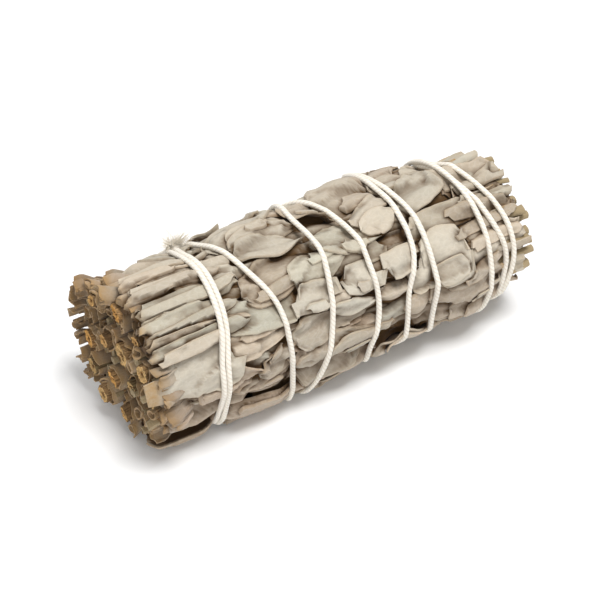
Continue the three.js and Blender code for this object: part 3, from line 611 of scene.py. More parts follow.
class MeshStore:
    """Points, faces and marks of one piece, gathered until its mesh is made."""

    SHARP = math.radians(32)
    # The fourth mark is painted shade, a dark brown that also browns some leaf ends.
    MARKS = ("tone", "light", "margin", "deep", "woody")
    # Ranges over which the painted shade grows: share of open space hidden, and places inside the near and
    # far ends.
    HIDDEN = (0.16, 0.62)
    NEAR_DEPTH = (-51.5, -46.0)
    FAR_DEPTH = (-51.0, -43.0)

    def __init__(self) -> None:
        """Starts empty."""
        self.points: list[Array] = []
        self.faces: list[Array] = []
        self.marks: dict[str, list[Array]] = {name: [] for name in self.MARKS}
        self.grain: list[Array] = []
        self.count = 0

    def add(self, points: Array, faces: list[Array], grain: Array, **marks: Array | float) -> None:
        """Adds one closed shape.

        Args:
            points: Its corners, in millimetres.
            faces: Arrays of three or four corner numbers a row.
            grain: Place of each corner on the flat leaf, in millimetres.
            marks: Values between 0 and 1 of each corner, by name. Those left out are 0.
        """
        self.points.append(points)
        self.faces.extend(part + self.count for part in faces if len(part))
        self.grain.append(grain)
        for name, rows in self.marks.items():
            rows.append(np.array(np.broadcast_to(marks.get(name, 0.0), len(points)), float))
        self.count += len(points)

    def shade(self, ground: HeightMap) -> None:
        """Paints shade into each point's colour: darker the more the leaves round it hide it, and darker the
        further it lies inside an end.

        Args:
            ground: The height map, once every leaf is laid.
        """
        for points, deep in zip(self.points, self.marks["deep"]):
            x, side, height = points.T
            side, height = side - FORM.axis_side, height - FORM.axis_height
            reach = np.hypot(side, height)
            angle = np.degrees(np.arctan2(-side, height))
            # Painted shade: outer points darken where leaves round them hide the open space, inner points
            # darken inside the ends.
            open_side = ramp(ground.buried(x, angle, reach), *self.HIDDEN)
            inside = np.minimum(ramp(x, *self.NEAR_DEPTH), ramp(-x, *self.FAR_DEPTH))
            inner = ramp(FORM.radius_at(x) - ground.BED - reach, -0.8, 0.8)
            deep[:] = np.maximum(deep, lerp(open_side, inside, inner))

    def build(self, name: str, material: bpy.types.Material) -> bpy.types.Object:
        """Makes the piece's object.

        Args:
            name: The object's name.
            material: What it is made of.

        Returns:
            The object, linked to the scene.
        """
        points = np.concatenate(self.points)
        points[:, 2] = np.maximum(points[:, 2], 0.0)
        loops = np.concatenate([part.ravel() for part in self.faces])
        sizes = np.concatenate([np.full(len(part), part.shape[1]) for part in self.faces])
        mesh = bpy.data.meshes.new(name)
        mesh.vertices.add(len(points))
        mesh.vertices.foreach_set("co", (points * MM).ravel())
        mesh.loops.add(len(loops))
        mesh.loops.foreach_set("vertex_index", loops.astype(np.int32))
        mesh.polygons.add(len(sizes))
        starts = np.concatenate([[0], np.cumsum(sizes)[:-1]])
        mesh.polygons.foreach_set("loop_start", starts.astype(np.int32))
        mesh.update(calc_edges=True)
        mesh.validate()
        for mark, rows in self.marks.items():
            layer = mesh.attributes.new(mark, "FLOAT", "POINT")
            layer.data.foreach_set("value", np.concatenate(rows).astype(np.float32))
        layer = mesh.attributes.new("grain", "FLOAT_VECTOR", "POINT")
        layer.data.foreach_set("vector", np.concatenate(self.grain).astype(np.float32).ravel())
        form = bmesh.new()
        form.from_mesh(mesh)
        bmesh.ops.recalc_face_normals(form, faces=form.faces)
        form.to_mesh(mesh)
        form.free()
        mesh.shade_smooth()
        mesh.set_sharp_from_angle(angle=self.SHARP)
        mesh.materials.append(material)
        piece = bpy.data.objects.new(name, mesh)
        bpy.context.scene.collection.objects.link(piece)
        return piece


def ring_faces(rows: int, around: int) -> Array:
    """Quads between closed rings of corners that follow one another.

    Args:
        rows: Number of rings.
        around: Corners in each ring.

    Returns:
        Four corner numbers a row.
    """
    i, k = np.meshgrid(np.arange(rows - 1), np.arange(around), indexing="ij")
    after = (k + 1) % around
    quads = [i * around + k, i * around + after, (i + 1) * around + after, (i + 1) * around + k]
    return np.stack([part.ravel() for part in quads], axis=1)


def sheet_shell(upper: Array, lower: Array) -> tuple[Array, list[Array]]:
    """Closed shell of a sheet with rounded edges.

    Args:
        upper: Grid of points of the upper face.
        lower: Grid of points of the lower face.

    Returns:
        The corners, ring by ring, and the faces.
    """
    rows, columns = upper.shape[:2]
    middle = 0.5 * (upper + lower)
    out = middle[:, -1] - middle[:, -2]
    thick = np.linalg.norm(upper - lower, axis=-1)
    unit = out / np.maximum(np.linalg.norm(out, axis=-1, keepdims=True), TINY)
    right = middle[:, -1] + unit * 0.45 * thick[:, -1:]
    out = middle[:, 0] - middle[:, 1]
    unit = out / np.maximum(np.linalg.norm(out, axis=-1, keepdims=True), TINY)
    left = middle[:, 0] + unit * 0.45 * thick[:, :1]
    rings = np.concatenate([upper, right[:, None], lower[:, ::-1], left[:, None]], axis=1)
    around = rings.shape[1]
    faces = [ring_faces(rows, around)]
    for row in (0, rows - 1):
        base = row * around
        j = np.arange(columns - 1)
        back = base + 2 * columns - j
        faces.append(np.stack([base + j, base + j + 1, back - 1, back], axis=1))
        faces.append(np.array([[base + columns - 1, base + columns, base + columns + 1],
                               [base, base + 2 * columns, base + 2 * columns + 1]]))
    return rings.reshape(-1, 3), faces


def blur(grid: Array) -> Array:
    """Averages each value of a grid with its neighbours.

    Args:
        grid: The values.

    Returns:
        The smoothed values.
    """
    wide = np.pad(grid, 1, mode="edge")
    grid = 0.25 * wide[:-2, 1:-1] + 0.5 * wide[1:-1, 1:-1] + 0.25 * wide[2:, 1:-1]
    wide = np.pad(grid, 1, mode="edge")
    return 0.25 * wide[1:-1, :-2] + 0.5 * wide[1:-1, 1:-1] + 0.25 * wide[1:-1, 2:]


@dataclass(frozen=True)
class Outline:
    """Half width of a leaf along its length, as a share of its full half width."""

    start: float
    swell: float
    rise: float
    run: float
    tip_from: float
    tip_power: float
    root_to: float

    def at(self, s: Array) -> Array:
        """Share of the half width at a share of the length.

        Args:
            s: Shares of the leaf's length, from its root.

        Returns:
            Shares of the full half width.
        """
        body = self.start + self.swell * np.sin(np.pi * np.minimum(1.0, self.rise + self.run * s))
        tip = 1.0 - ramp(s, self.tip_from, 1.0) ** self.tip_power
        root = 1.0 - (1.0 - ramp(s, 0.0, self.root_to)) ** 2.2
        return body * tip * np.sqrt(np.maximum(root, 0.0)) + 0.04


OUTLINES = {
    OVATE: Outline(0.3, 0.74, 0.15, 0.66, 0.4, 1.35, 0.1),
    POD: Outline(0.42, 0.6, 0.05, 0.7, 0.5, 1.7, 0.12),
    STRIP: Outline(0.84, 0.2, 0.0, 1.0, 0.9, 3.5, 0.03),
    BLUNT: Outline(0.76, 0.3, 0.15, 0.62, 0.9, 4.0, 0.04),
}


def owner(angle: float, outer: bool) -> int:
    """Index of the sprig whose leaves lie under an angle.

    Args:
        angle: Angle round the axis.
        outer: Whether it is one of those that lie round the others.

    Returns:
        Its index among all sprigs.
    """
    group, first = (OUTER_SPRIGS, 0) if outer else (INNER_SPRIGS, len(OUTER_SPRIGS))
    for index, sprig in enumerate(group):
        if sprig.holds(angle):
            return first + index
    return first


@dataclass(frozen=True)
class LeafGrid:
    """Grid of one leaf's corners, on the flat leaf and on the bunch."""

    s: Array
    t: Array
    half: Array
    along: Array
    across: Array
    bend: Array
    x: Array
    angle: Array


@dataclass
class LeafLayers:
    """Lays every leaf of the bunch in order, each one draped over those under it."""

    ground: HeightMap
    grooves: GrooveMap
    stores: list[MeshStore]
    rng: Random
    cell_length: float = 0.5
    cell_width: float = 0.42
    blade: float = 0.4
    margin: float = 0.5
    clearance: float = 0.04
    touch: float = 0.32
    flap_width: float = 6.2
    plain_share: float = 0.35
    hidden_leaves: int = 230
    hidden_depth: tuple[float, float] = (-5.2, -3.0)
    strip_proud: float = -1.3
    tip_strip_proud: float = -1.4
    rest_proud: float = -1.2
    lowest_front: float = -2.7
    lowest_back: float = -3.5
    rise: float = 1.5

    def creases(self, along: Array, across: Array, count: int, height: float) -> Array:
        """Sharp folds that run mostly lengthwise and die out towards their ends.

        Args:
            along: Distance of each place from the root.
            across: Distance of each place from the midrib.
            count: Number of folds.
            height: Greatest height of a fold.

        Returns:
            Heights to add.
        """
        rng = self.rng
        total = 0 * along
        for _ in range(count):
            lean = math.radians(rng.normal(0, 16))
            middle = rng.uniform(0.2, 0.9) * along.max()
            beside = rng.uniform(-0.7, 0.7) * np.abs(across).max()
            away = (across - beside) * math.cos(lean) - (along - middle) * math.sin(lean)
            run = (along - middle) * math.cos(lean) + (across - beside) * math.sin(lean)
            reach = rng.uniform(0.35, 0.8) * along.max()
            fade = np.maximum(0.0, 1.0 - (run / reach) ** 2)
            width = rng.uniform(0.6, 2.4)
            other = rng.uniform(0.3, 0.8)
            roof = np.maximum(0.0, 1.0 - np.where(away > 0, away, -away / other) / width)
            total = total + rng.choice([-1.0, 1.0]) * rng.uniform(0.4, 1.0) * height * roof * fade
        return total

    def folds(self, along: Array, across: Array, count: int, slope: float, spread: float) -> Array:
        """Long straight folds with flat parts between them, as in creased paper.

        Args:
            along: Distance of each place from the root.
            across: Distance of each place from the midrib.
            count: Number of folds.
            slope: Greatest slope of a flat part.
            spread: How far the folds turn away from the leaf's length, in degrees.

        Returns:
            Heights to add.
        """
        rng = self.rng
        total = 0 * along
        for _ in range(count):
            lean = math.radians(rng.normal(0, spread))
            beside = rng.uniform(-0.6, 0.6) * np.abs(across).max()
            middle = rng.uniform(0.2, 0.8) * along.max()
            away = (across - beside) * math.cos(lean) - (along - middle) * math.sin(lean)
            flat = np.minimum(np.abs(away), rng.uniform(2.0, 4.5))
            total = total + rng.choice([-1.0, 1.0]) * rng.uniform(0.4, 1.0) * slope * (flat - 1.5)
        return total

    def relief(self, leaf: Leaf, along: Array, across: Array, half: Array, t: Array) -> Array:
        """The leaf's own ups and downs above the place where it lies.

        Args:
            leaf: The leaf.
            along: Distance of each place from the root.
            across: Distance of each place from the midrib.
            half: Half width at each place.
            t: The same distance as a share of the half width.

        Returns:
            Heights to add, in millimetres.
        """
        rng = self.rng
        share = along / along.max()
        wavy = 0.12 * smooth_noise(rng, along, across, 6.0) + 0.04 * smooth_noise(rng, along, across, 2.6)
        fine = 0.035 * smooth_noise(rng, along, across, 1.0)
        tilt = rng.choice([-1.0, 1.0]) * rng.uniform(0.3, 1.1) * t
        lift = rng.uniform(-0.6, 0.9) * ramp(share, 0.6, 1.0) ** 1.5
        inward = 1 - ramp(half - np.abs(t) * half, 0.0, 1.1)
        tucks = [
            rng.uniform(0.8, 1.6) if rng.random() < 0.22 else rng.uniform(-0.3, 0.1)
            for _ in range(2)
        ]
        tilt = tilt - np.where(t < 0, tucks[0], tucks[1]) * inward**2
        ridge = rng.uniform(-0.5, 0.5) + 0.12 * smooth_noise(rng, along, 0 * across, 5.0)
        from_ridge = np.where(t > ridge, (t - ridge) / (1 - ridge), (ridge - t) / (1 + ridge))
        base = wavy + fine + tilt
        if leaf.kind is POD:
            return base + 0.95 * np.sin(math.pi * np.minimum(1.0, 0.08 + 0.86 * from_ridge)) ** 0.7
        if leaf.kind is STRIP:
            roof = 1.3 * (1 - from_ridge**1.15)
            return base + roof + self.folds(along, across, 1, 0.2, 8) + self.creases(along, across, 1, 0.3)
        if leaf.kind is OVATE:
            gull = rng.choice([0.5, -0.6]) * np.abs(t) ** 0.9 + 0.3
            rib = -0.14 * np.exp(-((across / 0.28) ** 2))
            flat = self.folds(along, across, 2, 0.32, 14) + self.creases(along, across, 2, 0.4)
            return base + gull + rib + lift + flat
        flat = self.folds(along, across, 4, 0.3, 30) + self.creases(along, across, 2, 0.5)
        return base + 0.2 + lift + flat

    def grid_of(self, leaf: Leaf) -> LeafGrid:
        """Cuts a leaf's outline with torn edges and sets it on its course round the bunch.

        Args:
            leaf: The leaf.

        Returns:
            Its grid.
        """
        rng = self.rng
        run = leaf.x1 - leaf.x0
        middle = 0.5 * (leaf.x0 + leaf.x1)
        side = float(FORM.length(leaf.angle1 - leaf.angle0, middle))
        length = math.hypot(run, side)
        rows = max(10, round(length / self.cell_length))
        columns = max(8, round(leaf.width / self.cell_width))
        s = np.linspace(0, 1, rows + 1)[:, None]
        even = np.linspace(-1, 1, columns + 1)[None, :]
        t = 0.7 * even + 0.3 * np.sin(even * math.pi / 2)
        flat = (s * length)[:, 0]
        edge = [
            1 + 0.09 * torn_noise(rng, flat, 4.6) + 0.03 * torn_noise(rng, flat, 1.5)
            for _ in range(2)
        ]
        half = OUTLINES[leaf.kind].at(s) * leaf.width * 0.52
        half = half * np.where(t < 0, edge[0][:, None], edge[1][:, None])
        bend = rng.uniform(-0.5, 0.5) * np.sin(math.pi * s)
        across = bend + t * half
        slant = rng.uniform(-0.3, 0.3, 2) * leaf.width * (leaf.kind in (STRIP, BLUNT))
        along = s * length + t * (slant[0] * (1 - s) ** 4 + slant[1] * s**4)
        ragged = 0.4 * torn_noise(rng, leaf.width * even[0], 1.6)
        along = along + ragged * (s**8 + (1 - s) ** 8)
        x = leaf.x0 + (run * along - side * across) / length
        angle = leaf.angle0 + (leaf.angle1 - leaf.angle0) * s
        angle = angle + FORM.degrees(run / length * across, middle)
        return LeafGrid(s, t, half, along, across, bend, x, angle)

    def settle(self, leaf: Leaf, grid: LeafGrid, proud: float, root_sink: float) -> Array:
        """Presses a leaf onto those that lie under it.

        Args:
            leaf: The leaf.
            grid: Its grid.
            proud: How far its surface stands out from the bunch's form.
            root_sink: How far its root dips in among the others.

        Returns:
            Distances from the axis to its lower side.
        """
        x, angle = grid.x, grid.angle
        target = FORM.radius_at(x) + FORM.bulge(x, angle) + proud - self.grooves.at(x, angle)
        target = target + self.relief(leaf, grid.along, grid.across - grid.bend, grid.half, grid.t)
        target = target - root_sink * (1 - ramp(grid.s, 0, 0.2)) ** 1.5
        contact = self.ground.highest(x, angle, self.touch) + self.clearance
        under = np.maximum(target - self.blade, contact)
        for _ in range(2):
            under = np.maximum(blur(under), contact)
        return FORM.within(angle, under)

    def lay(self, leaf: Leaf, proud: float, root_sink: float) -> None:
        """Lays one leaf.

        Args:
            leaf: The leaf.
            proud: How far its surface stands out from the bunch's form.
            root_sink: How far its root dips in among the others.
        """
        rng = self.rng
        grid = self.grid_of(leaf)
        s, t, x, angle = grid.s, grid.t, grid.x, grid.angle
        under = self.settle(leaf, grid, proud, root_sink)
        rolled = self.margin * rng.uniform(0.1, 1.0) * np.abs(t) ** 12
        upper = FORM.place(x, angle, under + self.blade)
        lower = FORM.place(x, angle, under - rolled)
        points, faces = sheet_shell(upper, lower)
        self.ground.lay_grid(x, angle, under + self.blade)

        rim = np.maximum(np.abs(t) + 0 * s, ramp(s, 0.93, 1.0) + 0 * t) ** 14
        offset = rng.uniform(0, 500)
        flat = np.stack([grid.along, grid.across, 0 * grid.along + offset], axis=-1)
        grain, _ = sheet_shell(flat, flat + [0, 0, 0.001])
        # Margin mark: brown at the edges, partly own colour and partly painted shade; own brown near the cut
        # end; painted shade over the whole lower face.
        rim = np.maximum(0.22 * rim, ramp(-x, 47.0, 50.5) * (1 - s) ** 2)
        rings = np.concatenate([rim, rim[:, -1:], 0.25 + 0 * rim[:, ::-1], rim[:, :1]], axis=1)
        tone = 0.5 + 0.5 * np.clip(leaf.tone + rng.uniform(-0.15, 0.15), -1, 1)
        store = self.stores[owner(0.5 * (leaf.angle0 + leaf.angle1), True)]
        store.add(points, faces, grain, tone=tone, margin=rings.ravel(), light=rng.uniform(0, 1))

    def lay_with_flap(self, leaf: Leaf, proud: float, root_sink: float) -> None:
        """Lays a leaf, and on a broad one a margin folded back over it.

        Args:
            leaf: The leaf.
            proud: How far its surface stands out from the bunch's form.
            root_sink: How far its root dips in among the others.
        """
        self.lay(leaf, proud, root_sink)
        if leaf.width < self.flap_width or self.rng.random() < self.plain_share:
            return
        side = self.rng.choice([-1, 1])
        turn = side * 0.3 * float(FORM.degrees(leaf.width, 0.5 * (leaf.x0 + leaf.x1)))
        x0 = lerp(leaf.x0, leaf.x1, self.rng.uniform(0.1, 0.4))
        x1 = lerp(leaf.x0, leaf.x1, self.rng.uniform(0.65, 0.95))
        lean = self.rng.uniform(-0.5, 0.3) * turn
        width = leaf.width * self.rng.uniform(0.25, 0.42)
        kind = self.rng.choice([0, 1])
        flap = Leaf(x0, lerp(leaf.angle0, leaf.angle1, 0.3) + turn, x1,
                    lerp(leaf.angle0, leaf.angle1, 0.8) + turn + lean, width,
                    (STRIP, OVATE)[kind], leaf.tone + self.rng.uniform(-0.3, 0.4))
        self.lay(flap, proud + 0.25, 0.3)

    def fill(self) -> None:
        """Lays narrow folded leaves under those that show, all round the bunch."""
        for _ in range(self.hidden_leaves):
            x0 = self.rng.uniform(-50, 34)
            x1 = min(x0 + self.rng.uniform(16, 28), 48 + self.rng.uniform(-2, 1.5))
            angle = self.rng.uniform(0, 360)
            slant = self.rng.uniform(-9, 9)
            width = self.rng.uniform(3.0, 5.6)
            leaf = Leaf(x0, angle, x1, angle + slant, width, STRIP, self.rng.uniform(-0.5, 0.9))
            self.lay(leaf, self.rng.uniform(*self.hidden_depth), 0.6)

    def narrow_strips(self) -> None:
        """Lays narrow folded leaves over the others beside the cut end, and a few at the tips."""
        rng = self.rng
        for angle in np.linspace(-8, 52, 15):
            start = rng.uniform(-50.0, -46.5)
            stop = start + rng.uniform(13, 24)
            width = rng.uniform(1.9, 3.3)
            tone = rng.uniform(-0.6, 0.6)
            place = angle + rng.uniform(-2, 2)
            strip = Leaf(start, place, stop, place + rng.uniform(-7, 7), width, STRIP, tone)
            self.lay(strip, self.strip_proud, 0.0)
        for angle in (12, 27, 34, 45, 57, 80, 104, 122):
            stop = rng.uniform(48.5, 51.0)
            width = rng.uniform(2.0, 3.4)
            place = angle + rng.uniform(-3, 3)
            start = stop - rng.uniform(13, 19)
            turn = rng.uniform(-5, 5)
            strip = Leaf(start, place, stop, place + turn, width, STRIP, rng.uniform(-0.3, 0.8))
            self.lay(strip, self.tip_strip_proud, 0.6)

    def lay_all(self, back: list[Leaf]) -> None:
        """Lays the hidden leaves, the back, the front and the two that the bunch rests on.

        Args:
            back: The leaves of the back, lowest first.
        """
        self.fill()
        for leaves in (back, FRONT_LEAVES):
            shown = leaves is FRONT_LEAVES
            low = self.lowest_front if shown else self.lowest_back
            for rank, leaf in enumerate(leaves):
                proud = lerp(low, low + self.rise, rank / len(leaves)) + self.rng.uniform(-0.7, 0.5)
                tone = leaf.tone if shown else self.rng.uniform(-0.7, 0.8)
                self.lay_with_flap(replace(leaf, tone=tone), proud, 0.0 if leaf.x0 < -44 else 1.2)
        self.narrow_strips()
        for leaf in REST_LEAVES:
            self.lay(leaf, self.rest_proud, 0.6)


@dataclass
class PackedCore:
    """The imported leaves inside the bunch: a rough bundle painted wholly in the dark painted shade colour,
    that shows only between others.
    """

    start: float = -44.0
    end: float = 43.0
    depth: float = 5.2
    inner: float = 9.4

    def build(self, sprig: Sprig, outer: bool, store: MeshStore, rng: Random) -> None:
        """Builds one sprig's share of the core.

        Args:
            sprig: The sprig.
            outer: Whether it lies round the others.
            store: The store of the sprig's piece.
            rng: Source of the roughness.
        """
        rows = 60
        columns = max(6, round((sprig.high - sprig.low) / 4))
        x = np.linspace(self.start, self.end, rows)[:, None]
        angle = np.linspace(sprig.low, sprig.high, columns)[None, :]
        top = FORM.radius_at(x) - self.depth if outer else self.inner + 0 * x
        foot = self.inner - 0.4 if outer else 0.8
        rough = 0.5 * smooth_noise(rng, x + 0 * angle, 0.3 * angle + 0 * x, 2.0)
        upper = FORM.place(x, angle, top + rough)
        lower = FORM.place(x, angle, foot)
        points, faces = sheet_shell(upper, lower)
        # Painted shade all over: the core is only seen in the gaps between leaves.
        store.add(points, faces, points.copy(), tone=0.8, margin=0.5, deep=1.0)


@dataclass(frozen=True)
class LongTip:
    """A broad leaf tip that stands out at the far end."""

    stop: float
    angle: float
    reach: float
    width: float


LONG_TIPS = (
    LongTip(49.6, -34, 16.2, 5.5),
    LongTip(49.0, -14, 16.2, 5.0),
    LongTip(50.0, 6, 15.8, 4.6),
    LongTip(50.2, 96, 15.7, 5.0),
    LongTip(50.2, 74, 16.0, 4.6),
    LongTip(49.0, -60, 15.2, 5.0),
    LongTip(50.0, 118, 15.9, 5.0),
)


@dataclass
class EndTufts:
    """Rolled and crumpled leaf ends round the stems at both ends of the bunch."""

    stores: list[MeshStore]
    rng: Random
    blade: float = 0.42
    crumples: int = 190
    petiole_count: int = 34
    roll_count: int = 34
    rods: int = 84
    far_crumples: int = 110
    rod_reach: float = 16.6
    far_reach: float = 15.8
    near_reach: float = 19.4
    shown_stem: float = 4.0
    shown_width: float = 14.0
    near_start: float = -48.7
    near_root: float = -41.0
    behind_stem: float = -47.4
    curl_root: float = -42.0
    loose_start: float = -49.9
    loose_root: float = -43.0
    outer_start: float = -52.9
    outer_reach: float = 20.2
    petiole_start: float = -49.9
    petiole_reach: float = 18.0
    rod_tip: float = 53.3
    rod_root: float = 38.0
    far_start: float = 45.0
    far_root: float = -37.0
    column: float = 0.45
    row: float = 0.7
    inner_ends: float = 9.4
    round_stem: float = 0.45

    def sweep(self, section: Shape, start: Array, stop: float, spine: Shape, span: float,
              store: MeshStore, tone: float, deep: float) -> None:
        """Sweeps a curved section along the bunch.

        Args:
            section: Gives the side and height offsets of places from 0 to 1 across the leaf.
            start: Place along the bunch where each column starts.
            stop: Place along the bunch where all columns end.
            spine: Gives the side and height of the section's middle at places along the bunch.
            span: Width of the flat leaf.
            store: Where the leaf goes.
            tone: Its colour, from 0 to 1.
            deep: Its share of the dark brown painted shade, from 0 to 1.
        """
        columns = len(start)
        v = np.linspace(0, 1, columns)
        flat = section(v)
        slope = np.gradient(flat, axis=0)
        normal = np.stack([-slope[:, 1], slope[:, 0]], axis=1)
        normal /= np.maximum(np.linalg.norm(normal, axis=1, keepdims=True), TINY)
        rows = max(6, round((stop - start.mean()) / self.row))
        u = np.linspace(0, 1, rows)[:, None]
        x = lerp(start[None, :], stop, u)
        middle = spine(x)
        wave = 0.16 * smooth_noise(self.rng, x + 0 * v, v * span + 0 * x, 1.8)[..., None]
        base = middle + flat[None] + wave * normal[None]
        grids = []
        for sign in (0.5, -0.5):
            yz = base + sign * self.blade * normal[None]
            grids.append(np.concatenate([x[..., None], yz], axis=-1))
        points, faces = sheet_shell(*grids)
        offset = self.rng.uniform(0, 500)
        place = np.stack([x, v * span + 0 * x, offset + 0 * x], axis=-1)
        grain, _ = sheet_shell(place, place + [0, 0, 0.001])
        edge = (1 - ramp(u, 0, 0.4)) + 0 * x
        rings = np.concatenate([edge, edge[:, -1:], edge[:, ::-1], edge[:, :1]], axis=1)
        light = self.rng.uniform(0, 1)
        store.add(points, faces, grain, tone=tone, margin=rings.ravel(), deep=deep, light=light)

    def torn_start(self, x0: float, span: float, least: int, depths: tuple[float, float],
                   sizes: tuple[float, float]) -> Array:
        """Places along the bunch of a leaf end's torn edge.

        Args:
            x0: Place of the end.
            span: Width of the flat leaf.
            least: Fewest corners over the width.
            depths: Depth of the coarse and of the fine tears.
            sizes: Width of the coarse and of the fine tears.

        Returns:
            One place for each corner of the edge.
        """
        places = np.linspace(0, span, max(least, round(span / self.column)))
        coarse, fine = (smooth_noise(self.rng, places, 0 * places, size) for size in sizes)
        return x0 + depths[0] * coarse + depths[1] * fine

    def roll(self, x0: float, x1: float, angle: float, reach: float, radius: float, turns: float,
             store: MeshStore, tone: float) -> None:
        """A leaf rolled up lengthwise, with a ragged end.

        Args:
            x0: Place of its free end along the bunch.
            x1: Place where it ends inside the bunch.
            angle: Angle round the axis.
            reach: Distance from the axis.
            radius: Its radius.
            turns: How many turns it is rolled up.
            store: Where its mesh goes.
            tone: Its colour, from 0 to 1.
        """
        first = self.rng.uniform(0, 2 * math.pi)
        growth = 0.62

        def section(v: Array) -> Array:
            """Outline of the leaf's section.

            Args:
                v: Places from 0 to 1 across the leaf.

            Returns:
                Side and height offsets.
            """
            turn = first + 2 * math.pi * turns * v
            away = radius + growth * turns * v
            squeeze = 1 + 0.12 * np.sin(2 * turn + first)
            return np.stack([away * squeeze * np.cos(turn), away / squeeze * np.sin(turn)], axis=1)

        span = 2 * math.pi * radius * turns
        start = self.torn_start(x0, span, 16, (0.7, 0.25), (1.6, 0.6))

        def spine(x: Array) -> Array:
            """Middle of the leaf along the bunch.

            Args:
                x: Places along the bunch.

            Returns:
                Side and height of the middle.
            """
            lowered = np.minimum(reach, 12.5)
            away = lerp(reach, lowered, ramp(x, x0, x0 + 12))
            return FORM.place(x, angle, away)[..., 1:]

        # Every rolled end gets a little painted shade.
        self.sweep(section, start, x1, spine, span, store, tone, 0.1)

    def crumple(self, x0: float, x1: float, angle: float, reach: float, width: float,
                store: MeshStore, tone: float, deep: float) -> None:
        """A leaf end pressed into curves among its neighbours.

        Args:
            x0: Place of its free end along the bunch.
            x1: Place where it ends inside the bunch.
            angle: Angle round the axis.
            reach: Distance from the axis.
            width: Width of the flat leaf.
            store: Where its mesh goes.
            tone: Its colour, from 0 to 1.
            deep: Its share of the dark brown painted shade, from 0 to 1.
        """
        rng = self.rng
        bow = rng.uniform(0.3, 1.5) * rng.choice([-1, 1])
        waves = rng.uniform(0.1, 0.5)
        phase = rng.uniform(0, PHASES)
        tilt = math.radians(-angle + rng.normal(0, 28))

        def section(v: Array) -> Array:
            """Outline of the leaf's section.

            Args:
                v: Places from 0 to 1 across the leaf.

            Returns:
                Side and height offsets.
            """
            along = (v - 0.5) * width
            up = bow * (1 - (2 * v - 1) ** 2) + waves * np.sin(9 * v + phase)
            c, s = math.cos(tilt), math.sin(tilt)
            return np.stack([-c * along - s * up, c * up - s * along], axis=1)

        start = self.torn_start(x0, width, 8, (0.8, 0.3), (2.2, 0.7))

        def spine(x: Array) -> Array:
            """Middle of the leaf along the bunch."""
            return FORM.place(x, angle, lerp(reach, min(reach, 14.5), ramp(x, x0 + 2.5, x0 + 10)))[..., 1:]

        self.sweep(section, start, x1, spine, width, store, tone, deep)

    def near_end(self) -> None:
        """Rolls round the stems and crumpled ends between them, at the cut end."""
        rng = self.rng
        for index, sprig in enumerate(SPRIGS):
            radius = sprig.width * 0.5 + self.round_stem
            turns = rng.uniform(0.7, 1.25)
            start = sprig.cut + rng.uniform(0.6, 1.6)
            self.roll(start, self.curl_root, sprig.angle, sprig.reach, radius, turns,
                      self.stores[index], rng.uniform(0.6, 1.0))
        self.petioles()
        self.loose_rolls()
        self.outer_ends()
        for k in range(self.crumples):
            angle = (k * GOLDEN_TURN) % 360
            reach = self.near_reach * math.sqrt((k + 0.7) / self.crumples)
            away = abs(float(turned(angle + 95)))
            longer = 3.4 * max(0.0, 1 - away / 60) * ramp(reach, 9, 17)
            start = self.near_start + rng.uniform(-1.0, 2.6) - longer
            if abs(float(turned(angle - self.shown_stem))) < self.shown_width and 11.0 < reach < 18.8:
                start = max(start, self.behind_stem)
            # The last value is a random share of painted shade, which also browns the end.
            self.crumple(start, self.near_root, angle, reach, rng.uniform(2.4, 5.2),
                         self.store_at(angle, reach), rng.uniform(0.6, 1.0), rng.uniform(0.0, 0.45))

    def loose_rolls(self) -> None:
        """Curled leaf ends at the cut end, a large one of them on top."""
        rng = self.rng
        self.roll(-52.4, -40.5, -13, 18.6, 1.5, 1.35, self.store_at(-13, 18.6), 0.8)
        for k in range(self.roll_count):
            angle = (k * GOLDEN_TURN + rng.uniform(-14, 14)) % 360
            reach = lerp(6.0, 19.6, math.sqrt((k + 0.5) / self.roll_count))
            start = self.loose_start + rng.uniform(-1.6, 1.4)
            self.roll(start, self.loose_root, angle, reach, rng.uniform(0.5, 1.3), rng.uniform(1.0, 1.7),
                      self.store_at(angle, reach), rng.uniform(0.6, 1.0))

    def outer_ends(self) -> None:
        """Leaf ends that stand out round the far side of the cut end."""
        rng = self.rng
        for angle in np.arange(-142, -58, 5.5):
            place = float(angle + rng.uniform(-2, 2))
            reach = self.outer_reach + rng.uniform(-0.7, 0.5)
            start = self.outer_start + rng.uniform(-0.6, 1.0)
            # The last value is a random share of painted shade, which also browns the end.
            self.crumple(start, self.curl_root, place, reach, rng.uniform(2.6, 4.6),
                         self.store_at(place, reach), rng.uniform(0.6, 1.0), rng.uniform(0.1, 0.5))

    def petioles(self) -> None:
        """Thin leaf stalks among the stems at the cut end."""
        rng = self.rng
        for k in range(self.petiole_count):
            angle = (k * OTHER_TURN + rng.uniform(-12, 12)) % 360
            reach = self.petiole_reach * math.sqrt((k + 0.6) / self.petiole_count)
            start = self.petiole_start + rng.uniform(-2.0, 1.6)
            self.rod(start, self.curl_root, angle, reach, rng.uniform(0.6, 1.25))

    def tip_rods(self) -> None:
        """Thin stalks and tightly rolled leaf tips that stand out at the other end."""
        rng = self.rng
        for k in range(self.rods):
            angle = (k * GOLDEN_TURN + rng.uniform(-8, 8)) % 360
            reach = self.rod_reach * math.sqrt((k + 1.5) / (self.rods + 1))
            tip = self.rod_tip - abs(rng.normal(0, 1.7))
            self.rod(tip, self.rod_root, angle, reach, rng.uniform(0.6, 1.25))

    def rod(self, x0: float, x1: float, angle: float, reach: float, radius: float) -> None:
        """One thin rod, its cut end first.

        Args:
            x0: Place of its free end along the bunch.
            x1: Place where it ends inside the bunch.
            angle: Angle round the axis.
            reach: Distance from the axis.
            radius: Its radius.
        """
        rng = self.rng
        xs = np.linspace(x0, x1, 14)
        wave = rng.uniform(-9.0, 9.0)
        spread = rng.uniform(-0.6, 0.9)

